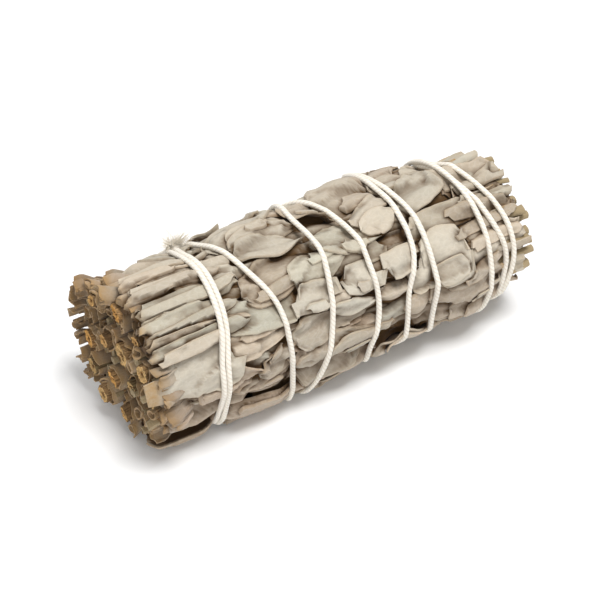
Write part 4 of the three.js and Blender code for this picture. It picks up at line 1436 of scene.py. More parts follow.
        def centre(x: Array) -> Array:
            """Middle of the rod along the bunch."""
            share = ramp(np.abs(x), abs(x1), abs(x0)) ** 1.5
            return FORM.place(x, angle + wave * share, reach - 0.6 + spread * share)[..., 1:]

        rod = WoodyRod(sides=14, ribs=5)
        rod.build(xs, centre, radius + 0 * xs, self.store_at(angle, reach), rng, rng.uniform(0.2, 1.0))

    def far_end(self) -> None:
        """Crumpled leaf tips between the stalks at the other end."""
        rng = self.rng
        for tip in LONG_TIPS:
            store = self.store_at(tip.angle, tip.reach)
            self.crumple_far(tip.stop, tip.angle, tip.reach, tip.width, store)
            store.marks["margin"][-1] *= 0.3
        for k in range(self.far_crumples):
            angle = (k * GOLDEN_TURN) % 360
            reach = self.far_reach * math.sqrt((k + 0.7) / self.far_crumples)
            stop = self.far_start + rng.uniform(-2.0, 3.0)
            self.crumple_far(stop, angle, reach, rng.uniform(2.0, 4.2), self.store_at(angle, reach))

    def crumple_far(self, stop: float, angle: float, reach: float, width: float, store: MeshStore) -> None:
        """A leaf tip at the far end, turned to face the other way."""
        self.crumple(-stop, self.far_root, angle, reach, width, store, self.rng.uniform(0.1, 0.7), 0.0)
        store.points[-1][:, 0] *= -1

    def store_at(self, angle: float, reach: float) -> MeshStore:
        """Store of the sprig that a place belongs to."""
        return self.stores[owner(angle, reach > self.inner_ends)]


@dataclass
class WoodyRod:
    """A stem or stalk: a ribbed rod with a rough cut end."""

    sides: int = 22
    ribs: int = 7
    step: float = 0.9

    def build(self, xs: Array, centre: Shape, radii: Array, store: MeshStore,
              rng: Random, tone: float) -> None:
        """Builds the rod.

        Args:
            xs: Places along the bunch of its rings, from its cut end.
            centre: Gives the side and height of its middle at places along the bunch.
            radii: Its radius at each ring.
            store: Where it goes.
            rng: Source of its roughness.
            tone: Its colour, from 0 to 1.
        """
        turn = np.linspace(0, 2 * math.pi, self.sides, endpoint=False)[None, :]
        x = xs[:, None]
        phase = rng.uniform(0, PHASES)
        ribs = 0.05 * np.cos(self.ribs * turn + phase + 0.04 * x)
        lumps = 0.06 * smooth_noise(rng, x + 0 * turn, 2.0 * turn + 0 * x, 2.2)
        oval = 0.07 * np.cos(2 * turn + phase)
        away = radii[:, None] * (1 + ribs + lumps + oval)
        middle = centre(xs)[:, None, :]
        lean = rng.uniform(-0.25, 0.25)
        tilt = lean * away * np.cos(turn + phase) * (1 - ramp(np.abs(x - xs[0]), 0, 1.2))
        rings = [np.stack([x + tilt, middle[..., 0] + away * np.cos(turn),
                           middle[..., 1] + away * np.sin(turn)], axis=-1)]
        face = []
        marks = [np.zeros((len(xs), self.sides))]
        spots = [np.stack([x + 0 * turn, radii[:, None] * turn, 0 * x + 0 * turn + phase], axis=-1)]
        sign = math.copysign(1.0, xs[1] - xs[0])
        for share in (0.9, 0.72, 0.5, 0.3, 0.1):
            rough = 0.16 * rng.uniform(-1, 1, self.sides) * radii[0] * (1 if share > 0.2 else 0.3)
            dip = 0.10 * radii[0] * (1 - share) * sign
            ring = rings[0][0].copy()
            ring[:, 1:] = middle[0] + share * (ring[:, 1:] - middle[0])
            ring[:, 0] = xs[0] + share * tilt[0] + dip + rough * sign * 0.8
            face.append(ring[None])
            marks.append(np.full((1, self.sides), 1.0 - 0.6 * share))
            spots.append(np.stack([share * radii[0] + 0 * turn, radii[0] * turn, phase + 0 * turn], axis=-1))
        order = face[::-1] + rings
        points = np.concatenate(order).reshape(-1, 3)
        cut = np.concatenate(marks[1:][::-1] + marks[:1]).ravel()
        grain = np.concatenate(spots[1:][::-1] + spots[:1]).reshape(-1, 3)
        count = len(points) // self.sides
        faces = [ring_faces(count, self.sides), self.fan(0, 1), self.fan((count - 1) * self.sides, -1)]
        store.add(points, faces, grain, tone=tone, woody=1.0, margin=cut)

    def fan(self, first: int, sign: int) -> Array:
        """Triangles that close one end ring from its first corner."""
        k = np.arange(1, self.sides - 1)
        return np.stack([first + 0 * k, first + k, first + k + 1], axis=1)[:, ::sign]


@dataclass
class Stems:
    """The woody stems, each dipping from the cut end to run inside its leaves."""

    taper: float = 0.62
    bed: float = 12.0
    far_bed: float = 10.8
    bend: float = 12.0

    def centre(self, sprig: Sprig, x: Array) -> Array:
        """Side and height of a stem's middle at places along the bunch.

        Args:
            sprig: The sprig.
            x: Places along the bunch.

        Returns:
            Side and height of the middle at each place.
        """
        share = ramp(x, sprig.cut, sprig.end)
        bed = np.minimum(sprig.reach, lerp(self.bed, self.far_bed, share))
        reach = lerp(sprig.reach, bed, ramp(x, sprig.cut, sprig.cut + self.bend))
        return FORM.place(x, sprig.angle + 4 * np.sin(math.pi * share), reach)[..., 1:]

    def build(self, sprig: Sprig, store: MeshStore, rng: Random) -> None:
        """Builds one stem.

        Args:
            sprig: The sprig.
            store: Where its mesh goes.
            rng: Source of random numbers.
        """
        close = np.arange(sprig.cut, sprig.cut + 8, 0.8)
        xs = np.concatenate([close, np.linspace(sprig.cut + 8, sprig.end, 30)])
        radii = sprig.width * 0.5 * lerp(1.0, self.taper, ramp(xs, sprig.cut, sprig.end))
        WoodyRod(sides=30).build(xs, lambda x: self.centre(sprig, x), radii, store, rng, rng.uniform(0, 1))


@dataclass
class Stalks:
    """The leaf stalks that stand out at the leaf tips."""

    root: float = 36.0
    spread: float = 2.2

    def build(self, stalk: Stalk, store: MeshStore, rng: Random) -> None:
        """Builds one stalk, its cut end first.

        Args:
            stalk: The stalk.
            store: Where its mesh goes.
            rng: Source of random numbers.
        """
        xs = np.linspace(stalk.tip, self.root, 16)
        wave = rng.uniform(-0.5, 0.5)

        def centre(x: Array) -> Array:
            """Middle of the rod along the bunch."""
            share = ramp(x, 38, stalk.tip)
            return FORM.place(x, stalk.angle + wave * np.sin(x), stalk.reach + self.spread * share)[..., 1:]

        radii = stalk.radius * lerp(0.85, 1.0, ramp(xs, stalk.tip, self.root))
        WoodyRod(sides=14, ribs=5).build(xs, centre, radii, store, rng, rng.uniform(0.2, 1.0))


@dataclass
class CottonString:
    """The string: three twisted plies wound taut round the leaves, and tied in one knot."""

    radius: float = 0.66
    sides: int = 18
    twist: float = 3.4
    step: float = 0.3
    plane_gap: float = 0.6
    settle: int = 17
    press: float = 0.6
    top: float = 43.6
    tips_reach: float = 16.9
    pulls: int = 900
    ply_depth: float = 0.08
    tuft_fibres: int = 260
    loose_fibres: int = 420
    knot_turns: float = 1.15
    tail_leans: tuple[float, float] = (-0.5, 0.6)
    tuft_length: float = 2.1
    tuft_spread: float = 0.6
    tuft_radius: float = 0.08
    loose_length: float = 1.3
    loose_spread: float = 0.35
    least_down: float = 0.3
    seated: float = 0.8
    touch: float = 0.55
    tips_part: tuple[float, float] = (42.5, 44.5)

    def ceiling(self, angle: Array) -> Array:
        """Greatest distance from the axis that keeps the string off the surface underneath.

        Args:
            angle: Angles round the axis.

        Returns:
            The distances.
        """
        down = -np.cos(np.radians(angle))
        room = FORM.axis_height - self.radius - self.plane_gap
        return np.where(down > self.least_down, room / np.maximum(down, self.least_down), FAR_AWAY)

    def taut(self, x: Array, angle: Array, ground: HeightMap, first: float | None) -> Array:
        """Distances from the axis of a stretch pulled straight between high spots.

        Args:
            x: Places of its steps along the bunch.
            angle: Angles of its steps.
            ground: The leaves that it lies on.
            first: Distance at the first step, where it goes on from another stretch.

        Returns:
            The distances.
        """
        top = self.ceiling(angle)
        high = np.maximum(ground.highest(x, angle, self.touch), self.tips_reach * ramp(x, *self.tips_part))
        high = high + self.radius * self.seated
        weights = np.hanning(self.settle)
        even = np.convolve(np.pad(high, self.settle // 2, mode="edge"), weights / weights.sum(), "valid")
        floor = np.minimum(np.maximum(even, high - self.press), top)
        if first is not None:
            floor[0] = first
        chord = math.cos(math.radians((angle[-1] - angle[0]) / (len(angle) - 1)))
        reach = floor.copy()
        for _ in range(self.pulls):
            inner = chord * 0.5 * (reach[:-2] + reach[2:])
            reach[1:-1] = np.minimum(np.maximum(floor[1:-1], inner), top[1:-1])
        return reach

    def lay(self, route: StringRoute, ground: HeightMap) -> Array:
        """Lays the outgoing run on the leaves and the returning run over both.

        Args:
            route: The string's route over the unrolled bunch.
            ground: The height map.

        Returns:
            Points of the string's middle.
        """
        turn = route.turning_place
        reach = self.taut(route.x[: turn + 1], route.angle[: turn + 1], ground, None)
        out = slice(0, turn)
        for side in np.linspace(-self.radius, self.radius, 5):
            top = reach[:-1] + math.sqrt(max(self.radius**2 - side**2, 0.0))
            ground.lay(route.x[out] + side, route.angle[out], top)
        back = self.taut(route.x[turn:], route.angle[turn:], ground, reach[-1])
        whole = np.concatenate([reach[:-1], back])
        return FORM.place(route.x, route.angle, whole)

    def tube(self, line: Array, radius: float, store: MeshStore, ends: float = 0.35) -> float:
        """Sweeps the twisted section along a line.

        Args:
            line: Points of the string's middle.
            radius: Its radius.
            store: Where the mesh goes.
            ends: Radius at the two ends as a share of the radius.

        Returns:
            The line's length.
        """
        gaps = np.linalg.norm(np.diff(line, axis=0), axis=1)
        run = np.concatenate([[0], np.cumsum(gaps)])
        count = max(8, round(run[-1] / self.step))
        place = np.linspace(0, run[-1], count)
        line = np.stack([np.interp(place, run, line[:, k]) for k in range(3)], axis=1)
        for _ in range(2):
            line[1:-1] = 0.25 * line[:-2] + 0.5 * line[1:-1] + 0.25 * line[2:]
        ahead = np.gradient(line, axis=0)
        ahead /= np.linalg.norm(ahead, axis=1, keepdims=True)
        up = line - np.array([0, FORM.axis_side, FORM.axis_height])
        up[:, 0] = 0
        up -= ahead * np.sum(up * ahead, axis=1, keepdims=True)
        up /= np.maximum(np.linalg.norm(up, axis=1, keepdims=True), TINY)
        side = np.cross(ahead, up)
        turn = np.linspace(0, 2 * math.pi, self.sides, endpoint=False)[None, :]
        phase = 2 * math.pi * place[:, None] / self.twist
        rng = np.random.default_rng(5)
        along = place[:, None] + 0 * turn
        uneven = 1 + 0.06 * smooth_noise(rng, along, 0 * along, 2.5)
        close = lerp(ends, 1.0, ramp(np.minimum(place, run[-1] - place), 0, 0.5))[:, None]
        plies = 0.925 + self.ply_depth * np.abs(np.cos(1.5 * (turn - phase))) ** 0.8
        away = radius * uneven * close * plies
        points = line[:, None] + away[..., None] * (
            np.cos(turn)[..., None] * side[:, None] + np.sin(turn)[..., None] * up[:, None])
        k = np.arange(1, self.sides - 1)
        cap = np.stack([0 * k, k, k + 1], axis=1)
        faces = [ring_faces(count, self.sides), cap, cap[:, ::-1] + (count - 1) * self.sides]
        grain = np.stack([along, turn - phase, 0 * along], axis=-1)
        store.add(points.reshape(-1, 3), faces, grain.reshape(-1, 3))
        return float(run[-1])

    def knot(self, first: Array, last: Array, store: MeshStore, rng: Random) -> None:
        """Ties the two ends in a small knot with a short frayed tuft.

        Args:
            first: Point where the string starts.
            last: Point where it comes back.
            store: Where its mesh goes.
            rng: Source of random numbers.
        """
        middle = 0.5 * (first + last)
        out = middle - np.array([middle[0], FORM.axis_side, FORM.axis_height])
        out /= np.linalg.norm(out)
        side = np.array([1.0, 0, 0])
        round_way = np.cross(out, side)

        def at(a: float, b: float, c: float) -> Array:
            """Point at distances along the bunch, round it and outwards."""
            return middle + a * side + b * round_way + c * out

        turn = np.linspace(0, 2 * math.pi * self.knot_turns, 26)
        loop = np.array([
            at(1.3 * math.cos(a), 0.95 * math.sin(a), 0.75 + 0.5 * math.sin(2 * a)) for a in turn])
        self.tube(loop, self.radius * 0.95, store)
        share = np.linspace(0, 1, 12)[:, None]
        for start, end in ((first, at(0.6, 0.2, 0.9)), (last, at(-0.6, -0.2, 0.9))):
            self.tube(lerp(start, end, share) + 0.5 * np.sin(math.pi * share) * out, self.radius, store)
        for lean in self.tail_leans:
            up = np.array([0.9 * lean, -0.2, 0.8])
            tail = at(0, 0, 0.6) + share * up
            self.tube(tail, self.radius * 0.9, store)
            for _ in range(self.tuft_fibres):
                self.fibre(tail[-1], up, self.tuft_length, self.tuft_spread, store, rng, self.tuft_radius)

    def fibre(self, start: Array, way: Array, length: float, spread: float, store: MeshStore,
              rng: Random, radius: float = 0.035) -> None:
        """A loose cotton fibre that leaves the string at a point and bends away.

        Args:
            start: Point where it leaves the string.
            way: Direction in which it sets out.
            length: Its greatest length.
            spread: How much its direction varies.
            store: Where its mesh goes.
            rng: Source of random numbers.
            radius: Its radius.
        """
        share = np.linspace(0, 1, 6)[:, None]
        first = way / np.linalg.norm(way) + spread * rng.normal(0, 1, 3)
        bend = spread * rng.normal(0, 1, 3)
        line = start + length * rng.uniform(0.5, 1.0) * (share * first + share**2 * bend)
        if line[:, 2].max() > self.top:
            return
        turn = np.array([0, 2.1, 4.2])
        away = radius * (1 - 0.6 * share)
        a = np.cross(first, [0.3, 0.5, 0.8])
        a /= np.linalg.norm(a)
        b = np.cross(first, a)
        b /= np.linalg.norm(b)
        points = line[:, None] + away[..., None] * (
            np.cos(turn)[None, :, None] * a + np.sin(turn)[None, :, None] * b)
        cap = np.array([[0, 1, 2]])
        faces = [ring_faces(6, 3), cap, cap[:, ::-1] + 15]
        points = points.reshape(-1, 3)
        store.add(points, faces, points.copy(), margin=1.0)

    def build(self, route: StringRoute, ground: HeightMap, store: MeshStore, rng: Random) -> float:
        """Builds the whole string.

        Args:
            route: Its route over the unrolled bunch.
            ground: The leaves that it lies on.
            store: Where the mesh goes.
            rng: Source of its loose fibres.

        Returns:
            Its length in millimetres, without the knot.
        """
        line = self.lay(route, ground)
        length = self.tube(line, self.radius, store, 1.0)
        self.knot(line[0], line[-1], store, rng)
        for _ in range(self.loose_fibres):
            k = rng.integers(2, len(line) - 2)
            out = line[k] - np.array([line[k][0], FORM.axis_side, FORM.axis_height])
            out /= np.linalg.norm(out)
            ahead = line[k + 1] - line[k]
            ahead /= np.linalg.norm(ahead)
            start = line[k] + out * self.radius * 0.8
            way = 0.8 * out + rng.choice([-1, 1]) * ahead
            self.fibre(start, way, self.loose_length, self.loose_spread, store, rng)
        return length


def put(tree: Tree, kind: str, inputs: dict | None = None, **settings: object) -> Node:
    """Adds a node, sets its options and fills its inputs.

    Args:
        tree: The node tree.
        kind: The node's type.
        inputs: Values or sockets for its inputs, by name or number.
        settings: Its options.

    Returns:
        The node.
    """
    node = tree.nodes.new(kind)
    for name, value in settings.items():
        setattr(node, name, value)
    for name, value in (inputs or {}).items():
        if isinstance(value, Socket):
            tree.links.new(value, node.inputs[name])
        else:
            node.inputs[name].default_value = value
    return node


def math_of(tree: Tree, operation: str, first: object, second: object, clamp: bool = False) -> Socket:
    """Joins two values by a sum and returns the result's socket."""
    node = put(tree, "ShaderNodeMath", {0: first, 1: second}, operation=operation, use_clamp=clamp)
    return node.outputs[0]


def mix_of(tree: Tree, share: object, first: object, second: object, blend: str = "MIX") -> Socket:
    """Mixes two colours and returns the result's socket."""
    node = put(tree, "ShaderNodeMix", {0: share, 6: first, 7: second}, data_type="RGBA", blend_type=blend)
    return node.outputs[2]


def mark_of(tree: Tree, name: str, output: str = "Fac") -> Socket:
    """Socket that reads one of a mesh's marks."""
    return put(tree, "ShaderNodeAttribute", attribute_name=name).outputs[output]


def noise_of(tree: Tree, place: Socket, scale: float, detail: float) -> Socket:
    """Soft noise over the mesh's places."""
    return put(tree, "ShaderNodeTexNoise", {"Vector": place, "Scale": scale, "Detail": detail}).outputs[0]


def stretch_of(tree: Tree, place: Socket, factors: tuple[float, float, float]) -> Socket:
    """Places multiplied by a factor along each axis."""
    return put(tree, "ShaderNodeVectorMath", {0: place, 1: factors}, operation="MULTIPLY").outputs[0]


def range_of(tree: Tree, value: object, source: tuple[float, float],
             target: tuple[float, float] = (0.0, 1.0)) -> Socket:
    """Maps a value from one range to another.

    Args:
        tree: The node tree.
        value: The value's socket.
        source: Lowest and highest value that count.
        target: What they become.

    Returns:
        The result's socket.
    """
    inputs = {
        "Value": value,
        "From Min": source[0],
        "From Max": source[1],
        "To Min": target[0],
        "To Max": target[1],
    }
    return put(tree, "ShaderNodeMapRange", inputs).outputs[0]


def give(group: Tree, result: Node, color: object, rough: object, height: object) -> Tree:
    """Joins an effect's colour, roughness and height to its outputs.

    Args:
        group: The node group.
        result: Its output node.
        color: Socket of the colour.
        rough: Socket of the roughness.
        height: Socket of the relief's height.

    Returns:
        The node group.
    """
    group.links.new(color, result.inputs["Color"])
    group.links.new(rough, result.inputs["Roughness"])
    group.links.new(height, result.inputs["Height"])
    return group


def new_group(name: str, inputs: dict[str, object], outputs: dict[str, str]) -> tuple:
    """Makes an empty node group.

    Args:
        name: The group's name.
        inputs: Default value of each input, by name.
        outputs: Socket type of each output, by name.

    Returns:
        The group, its input node and its output node.
    """
    group = bpy.data.node_groups.new(name, "ShaderNodeTree")
    for label, value in inputs.items():
        kind = "NodeSocketFloat" if isinstance(value, float) else "NodeSocketColor"
        socket = group.interface.new_socket(name=label, in_out="INPUT", socket_type=kind)
        socket.default_value = value if isinstance(value, float) else (*value, 1.0)
    for label, kind in outputs.items():
        group.interface.new_socket(name=label, in_out="OUTPUT", socket_type=kind)
    return group, group.nodes.new("NodeGroupInput"), group.nodes.new("NodeGroupOutput")


SURFACE_OUTPUTS = {
    "Color": "NodeSocketColor",
    "Roughness": "NodeSocketFloat",
    "Height": "NodeSocketFloat",
}


def felt_group() -> Tree:
    """Effect of felted dry leaf: tone, blotches, veins, brown margins with painted shade on the undersides,
    and painted shade in the depths.

    Returns:
        The node group.
    """
    inputs = {"Cool": UNSET, "Warm": UNSET, "Margin": UNSET, "Painted Shade And Brown": UNSET, "Stalk": UNSET, "Fleck": 0.5}
    group, given, result = new_group("Felted leaf", inputs, SURFACE_OUTPUTS)
    colors = given.outputs
    grain = mark_of(group, "grain", "Vector")
    cloud = noise_of(group, grain, scale=0.22, detail=3.0)
    mottle = noise_of(group, grain, scale=0.9, detail=5.0)
    felt = noise_of(group, grain, scale=6.0, detail=4.0)
    speck = noise_of(group, grain, scale=2.6, detail=2.0)
    stretched = stretch_of(group, grain, (0.55, 1.0, 1.0))
    cells = put(group, "ShaderNodeTexVoronoi", {"Vector": stretched, "Scale": 0.85},
                feature="DISTANCE_TO_EDGE")
    vein = range_of(group, cells.outputs["Distance"], (0.0, 0.09), (1.0, 0.0))

    tone = math_of(group, "ADD", mark_of(group, "tone"), math_of(group, "MULTIPLY", cloud, 0.6))
    tone = math_of(group, "SUBTRACT", tone, 0.36, True)
    color = mix_of(group, tone, colors["Cool"], colors["Warm"])
    light = range_of(group, mottle, (0.3, 0.7), (0.94, 1.04))
    own = range_of(group, mark_of(group, "light"), (0.0, 1.0), (0.86, 1.08))
    light = math_of(group, "MULTIPLY", light, own)
    color = put(group, "ShaderNodeHueSaturation", {"Color": color, "Value": light}).outputs[0]
    color = mix_of(group, math_of(group, "MULTIPLY", vein, 0.06), color, (1, 1, 1, 1), "SCREEN")
    fleck = range_of(group, speck, (0.66, 0.76))
    color = mix_of(group, math_of(group, "MULTIPLY", fleck, colors["Fleck"]), color, colors["Margin"])
    # Margin mark: brown edges and ends, partly own colour and partly painted shade, and a flat painted shade
    # on leaf undersides.
    brown_margin_and_painted_shade = math_of(group, "MULTIPLY", mark_of(group, "margin"), math_of(group, "ADD", mottle, 0.25), True)
    color = mix_of(group, brown_margin_and_painted_shade, color, colors["Margin"])
    # Painted shade: mixes towards a dark brown in crevices, inside the ends and on the core; it also browns
    # some end leaves.
    color = mix_of(group, mark_of(group, "deep"), color, colors["Painted Shade And Brown"])
    color = mix_of(group, mark_of(group, "woody"), color, colors["Stalk"])

    rough = range_of(group, mottle, (0.0, 1.0), (0.8, 0.98))
    fuzz = math_of(group, "MULTIPLY", felt, 0.5)
    height = math_of(group, "ADD", fuzz, math_of(group, "MULTIPLY", mottle, 0.8))
    height = math_of(group, "ADD", height, math_of(group, "MULTIPLY", vein, -0.22))
    return give(group, result, color, rough, height)


def bark_group() -> Tree:
    """Effect of dry bark, darker in the low grooves of its relief, and of the rough cut end with its pith.

    Returns:
        The node group.
    """
    inputs = {"Bark": UNSET, "Cleft": UNSET, "Cut": UNSET, "Pith": UNSET}
    group, given, result = new_group("Bark and cut wood", inputs, SURFACE_OUTPUTS)
    colors = given.outputs
    grain = mark_of(group, "grain", "Vector")
    fibre = noise_of(group, stretch_of(group, grain, (0.35, 2.4, 1.0)), scale=1.4, detail=5.0)
    spots = noise_of(group, grain, scale=1.8, detail=4.0)
    # Bark is darker where the relief is low: partly its own furrow colour, partly painted shade.
    cleft = range_of(group, fibre, (0.35, 0.62))
    bark = mix_of(group, cleft, colors["Cleft"], colors["Bark"])
    face = mark_of(group, "margin")
    pith = range_of(group, face, (0.72, 0.92))
    wood = mix_of(group, pith, colors["Cut"], colors["Pith"])
    ring = range_of(group, spots, (0.3, 0.7), (0.6, 1.15))
    wood = put(group, "ShaderNodeHueSaturation", {"Color": wood, "Value": ring}).outputs[0]
    on_face = range_of(group, face, (0.25, 0.45))
    color = mix_of(group, on_face, bark, wood)
    height = math_of(group, "ADD", fibre, math_of(group, "MULTIPLY", spots, 0.8))
    rough = range_of(group, fibre, (0.0, 1.0), (0.7, 0.95))
    return give(group, result, color, rough, height)


def cotton_group() -> Tree:
    """Effect of twisted cotton: fine fibres that wind round each ply, with painted shade in the grooves
    between the plies.

    Returns:
        The node group.
    """
    inputs = {"Fibre": UNSET, "Hollow": UNSET}
    group, given, result = new_group("Twisted cotton", inputs, SURFACE_OUTPUTS)
    colors = given.outputs
    grain = mark_of(group, "grain", "Vector")
    parts = put(group, "ShaderNodeSeparateXYZ", {"Vector": grain})
    ply = math_of(group, "COSINE", math_of(group, "MULTIPLY", parts.outputs[1], 3.0), 0.0)
    fibre = noise_of(group, stretch_of(group, grain, (1.0, 2.6, 1.0)), scale=2.4, detail=4.0)
    # Painted shade in the grooves between the plies.
    shade = range_of(group, ply, (-1.0, 0.1))
    color = mix_of(group, shade, colors["Hollow"], colors["Fibre"])
    light = range_of(group, fibre, (0.3, 0.7), (0.9, 1.05))
    color = put(group, "ShaderNodeHueSaturation", {"Color": color, "Value": light}).outputs[0]
    rough = range_of(group, fibre, (0.0, 1.0), (0.8, 1.0))
    return give(group, result, color, rough, fibre)


def linear(red: int, green: int, blue: int) -> Color:
    """Light values of a colour given as seen on a screen."""
    return tuple(((c / 255 + 0.055) / 1.055) ** 2.4 for c in (red, green, blue))


@dataclass(frozen=True)
class Finish:
    """A finish whose colour and relief come from one node group."""

    name: str
    colors: dict[str, object]
    bump: float
    depth: float
    sheen: float
    specular: float = 0.25

    @property
    def look(self) -> str:
        """Name of the finish's material."""
        return f"{self.name}_look"

    def material(self, group: Tree) -> bpy.types.Material:
        """Makes the material.

        Args:
            group: The node group that gives its colour, roughness and height.

        Returns:
            The material.
        """
        material = bpy.data.materials.new(self.look)
        material.use_nodes = True
        tree = material.node_tree
        shader = tree.nodes["Principled BSDF"]
        shader.inputs["Sheen Weight"].default_value = self.sheen
        shader.inputs["Sheen Roughness"].default_value = 0.5
        shader.inputs["Specular IOR Level"].default_value = self.specular
        effect = put(tree, "ShaderNodeGroup", node_tree=group)
        for label, value in self.colors.items():
            effect.inputs[label].default_value = value if isinstance(value, float) else (*value, 1.0)
        relief = put(tree, "ShaderNodeBump", {"Height": effect.outputs["Height"], "Strength": self.bump,
                                              "Distance": self.depth * MM})
        tree.links.new(effect.outputs["Color"], shader.inputs["Base Color"])
        tree.links.new(effect.outputs["Roughness"], shader.inputs["Roughness"])
        tree.links.new(relief.outputs[0], shader.inputs["Normal"])
        return material


@dataclass(frozen=True)
class Palette:
    """The colours of the bunch's finishes, as seen on a screen."""

    cool: tuple = ((192, 186, 170), (186, 181, 164), (197, 191, 176),
                   (182, 178, 163), (190, 183, 167), (180, 176, 162))
    warm: tuple = ((186, 168, 147), (180, 162, 141), (190, 173, 152),
                   (176, 157, 137), (186, 165, 144), (172, 154, 134))
    # Brown of leaf edges and ends, also used for the painted shade on leaf undersides.
    margin: tuple = (170, 134, 82)
    # Dark brown of the painted shade in crevices, inside the ends and on the core; it also browns some leaf
    # ends.
    deep: tuple = (88, 64, 36)
    stalk: tuple = (162, 144, 112)
    bark: tuple = ((176, 138, 92), (140, 112, 78), (160, 128, 88), (128, 112, 80))
    cut: tuple = ((226, 172, 98), (214, 170, 108), (220, 182, 124), (200, 166, 112))
    # Colour of the bark's low grooves, partly its own and partly painted shade.
    cleft: tuple = (92, 70, 44)
    pith: tuple = (122, 84, 44)
    fibre: tuple = (246, 240, 228)
    # Painted shade of the string's grooves between plies.
    hollow: tuple = (232, 222, 206)

    def leaf(self, index: int) -> Finish:
        """Finish of one leaf slot.

        Args:
            index: Number of the slot, from 0.

        Returns:
            The finish.
        """
        colors = {
            "Cool": linear(*self.cool[index]),
            "Warm": linear(*self.warm[index]),
            "Margin": linear(*self.margin),
            "Painted Shade And Brown": linear(*self.deep),
            "Stalk": linear(*self.stalk),
            "Fleck": 0.35,
        }
        return Finish(f"sage_leaf_{index + 1}", colors, bump=0.55, depth=0.22, sheen=0.12)

    def stem(self, index: int) -> Finish:
        """Finish of one stem slot.

        Args:
            index: Number of the slot, from 0.

        Returns:
            The finish.
        """
        colors = {
            "Bark": linear(*self.bark[index]),
            "Cleft": linear(*self.cleft),
            "Cut": linear(*self.cut[index]),
            "Pith": linear(*self.pith),
        }
        return Finish(f"sage_stem_{index + 1}", colors, bump=0.8, depth=0.3, sheen=0.0)

    def cotton(self) -> Finish:
        """Finish of the string."""
        colors = {"Fibre": linear(*self.fibre), "Hollow": linear(*self.hollow)}
        return Finish("cotton_string", colors, bump=0.6, depth=0.15, sheen=0.3)


@dataclass
class Studio:
    """Camera at the photograph's angle, pale floor and soft light."""

    azimuth: float = -30.3
    elevation: float = 42.5
    distance: float = 420.0
    focal: float = 106.8
    target: tuple[float, float, float] = (-3.5, 0.0, 20.4)
    drop: float = 1.79
    floor_half: float = 3.0
    floor_gap: float = 5e-5
    sky_strength: float = 0.36
    lamps: tuple = (
        ("key", (0.10, -0.22, 0.97), 0.35, 8.8),
        ("fill", (-0.5, -0.7, 0.5), 0.7, 2.0),
        ("back", (-0.2, 0.7, 0.6), 0.6, 2.0),
    )

    def back(self) -> Vector:
        """Direction from the bunch to the camera."""
        a, e = math.radians(self.azimuth), math.radians(self.elevation)
        return Vector((math.sin(a) * math.cos(e), -math.cos(a) * math.cos(e), math.sin(e)))

    def camera(self) -> None:
        """Places the camera."""
        back = self.back()
        right = Vector((0, 0, 1)).cross(back).normalized()
        up = back.cross(right)
        aim = Vector(self.target) - self.drop * up
        data = bpy.data.cameras.new("camera")
        data.lens = self.focal
        data.sensor_width = 36.0
        data.clip_start = 0.01
        camera = bpy.data.objects.new("camera", data)
        bpy.context.scene.collection.objects.link(camera)
        turn = Matrix((right, up, back)).transposed().to_4x4()
        camera.matrix_world = Matrix.Translation((aim + self.distance * back) * MM) @ turn
        bpy.context.scene.camera = camera

    def floor(self) -> None:
        """Lays a wide pale floor."""
        mesh = bpy.data.meshes.new("floor")
        half, low = self.floor_half, -self.floor_gap
        corners = [(-half, -half, low), (half, -half, low), (half, half, low), (-half, half, low)]
        mesh.from_pydata(corners, [], [(0, 1, 2, 3)])
        material = bpy.data.materials.new("pale_floor")
        material.use_nodes = True
        shader = material.node_tree.nodes["Principled BSDF"]
        shader.inputs["Base Color"].default_value = (0.9, 0.9, 0.9, 1)
        shader.inputs["Roughness"].default_value = 0.9
        mesh.materials.append(material)
        floor = bpy.data.objects.new("floor", mesh)
        bpy.context.scene.collection.objects.link(floor)

    def light(self, name: str, way: tuple[float, float, float], size: float, power: float) -> None:
        """Hangs one soft lamp that faces the bunch.

        Args:
            name: The lamp's name.
            way: Place of the lamp, in metres.
            size: Width of the lamp, in metres.
            power: Its power, in watts.
        """
        data = bpy.data.lights.new(name, "AREA")
        data.shape = "SQUARE"
        data.size = size
        data.energy = power
        lamp = bpy.data.objects.new(name, data)
        lamp.location = way
        lamp.rotation_euler = Vector(way).to_track_quat("Z", "Y").to_euler()
        bpy.context.scene.collection.objects.link(lamp)

    def build(self) -> None:
        """Sets up camera, floor, lamps and sky."""
        self.camera()
        self.floor()
        for name, way, size, power in self.lamps:
            self.light(name, way, size, power)
        world = bpy.data.worlds.new("sky")
        world.use_nodes = True
        sky = world.node_tree.nodes["Background"]
        sky.inputs["Color"].default_value = (1, 1, 1, 1)
        sky.inputs["Strength"].default_value = self.sky_strength
        bpy.context.scene.world = world
        bpy.context.scene.view_settings.view_transform = "Standard"


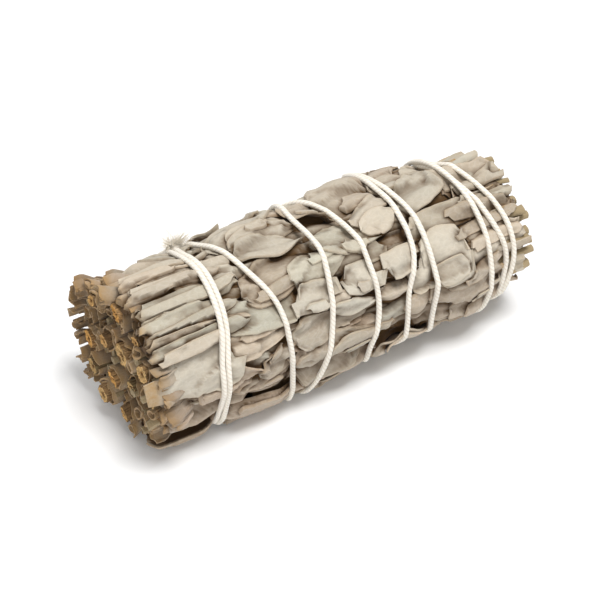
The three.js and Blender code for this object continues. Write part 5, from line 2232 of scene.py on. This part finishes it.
@dataclass
class SageBunch:
    """The whole bunch: leaves and stalks by sprig, stems and string."""

    seed: int = 20451
    palette: Palette = field(default_factory=Palette)
    groups: dict[str, Tree] = field(default_factory=dict)

    def dress(self, store: MeshStore, name: str, node: str, finish: Finish, group: str) -> None:
        """Makes a piece, attaches it to the body and hides the solid that it replaces.

        Args:
            store: Its mesh.
            name: Its name.
            node: The solid that it replaces.
            finish: Its finish, named after its slot.
            group: Name of the finish's effect.
        """
        material = bpy.data.materials.get(finish.look) or finish.material(self.groups[group])
        piece = store.build(name, material)
        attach(piece, BODY)
        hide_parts(node)
        LOG.info("%s: %d faces", name, len(piece.data.polygons))

    def build(self) -> None:
        """Builds every piece."""
        self.groups = {"felt": felt_group(), "bark": bark_group(), "cotton": cotton_group()}
        draws = SeededDraws(self.seed)
        rng = np.random.default_rng(self.seed)
        stalks = draw_stalks(draws)
        back = BackRows().leaves(draws)
        route = StringRoute()
        ground = HeightMap()
        stores = [MeshStore() for _ in SPRIGS]
        for index, sprig in enumerate(SPRIGS):
            PackedCore().build(sprig, index < len(OUTER_SPRIGS), stores[index], rng)
        for stalk in stalks:
            Stalks().build(stalk, stores[stalk.sprig], rng)
        tufts = EndTufts(stores, rng)
        tufts.near_end()
        tufts.far_end()
        tufts.tip_rods()
        layers = LeafLayers(ground, GrooveMap(route, ground), stores, rng)
        layers.lay_all(back)
        for index, store in enumerate(stores):
            store.shade(ground)
            finish = self.palette.leaf(index % len(self.palette.cool))
            self.dress(store, f"sage_leaves_{index + 1:02d}", f"leaves_{index + 1:02d}", finish, "felt")
        for index, sprig in enumerate(SPRIGS):
            store = MeshStore()
            Stems().build(sprig, store, rng)
            finish = self.palette.stem(index % len(self.palette.bark))
            self.dress(store, f"sage_stem_{index + 1:02d}", f"stem_{index + 1:02d}", finish, "bark")
        store = MeshStore()
        length = CottonString().build(route, ground, store, rng)
        LOG.info("string length %.0f mm", length)
        self.dress(store, "wound_string", "string", self.palette.cotton(), "cotton")


def main() -> None:
    """Builds the studio and the bunch."""
    logging.basicConfig(level=logging.INFO, format="%(message)s")
    Studio().build()
    SageBunch().build()


if __name__ == "__main__":
    main()
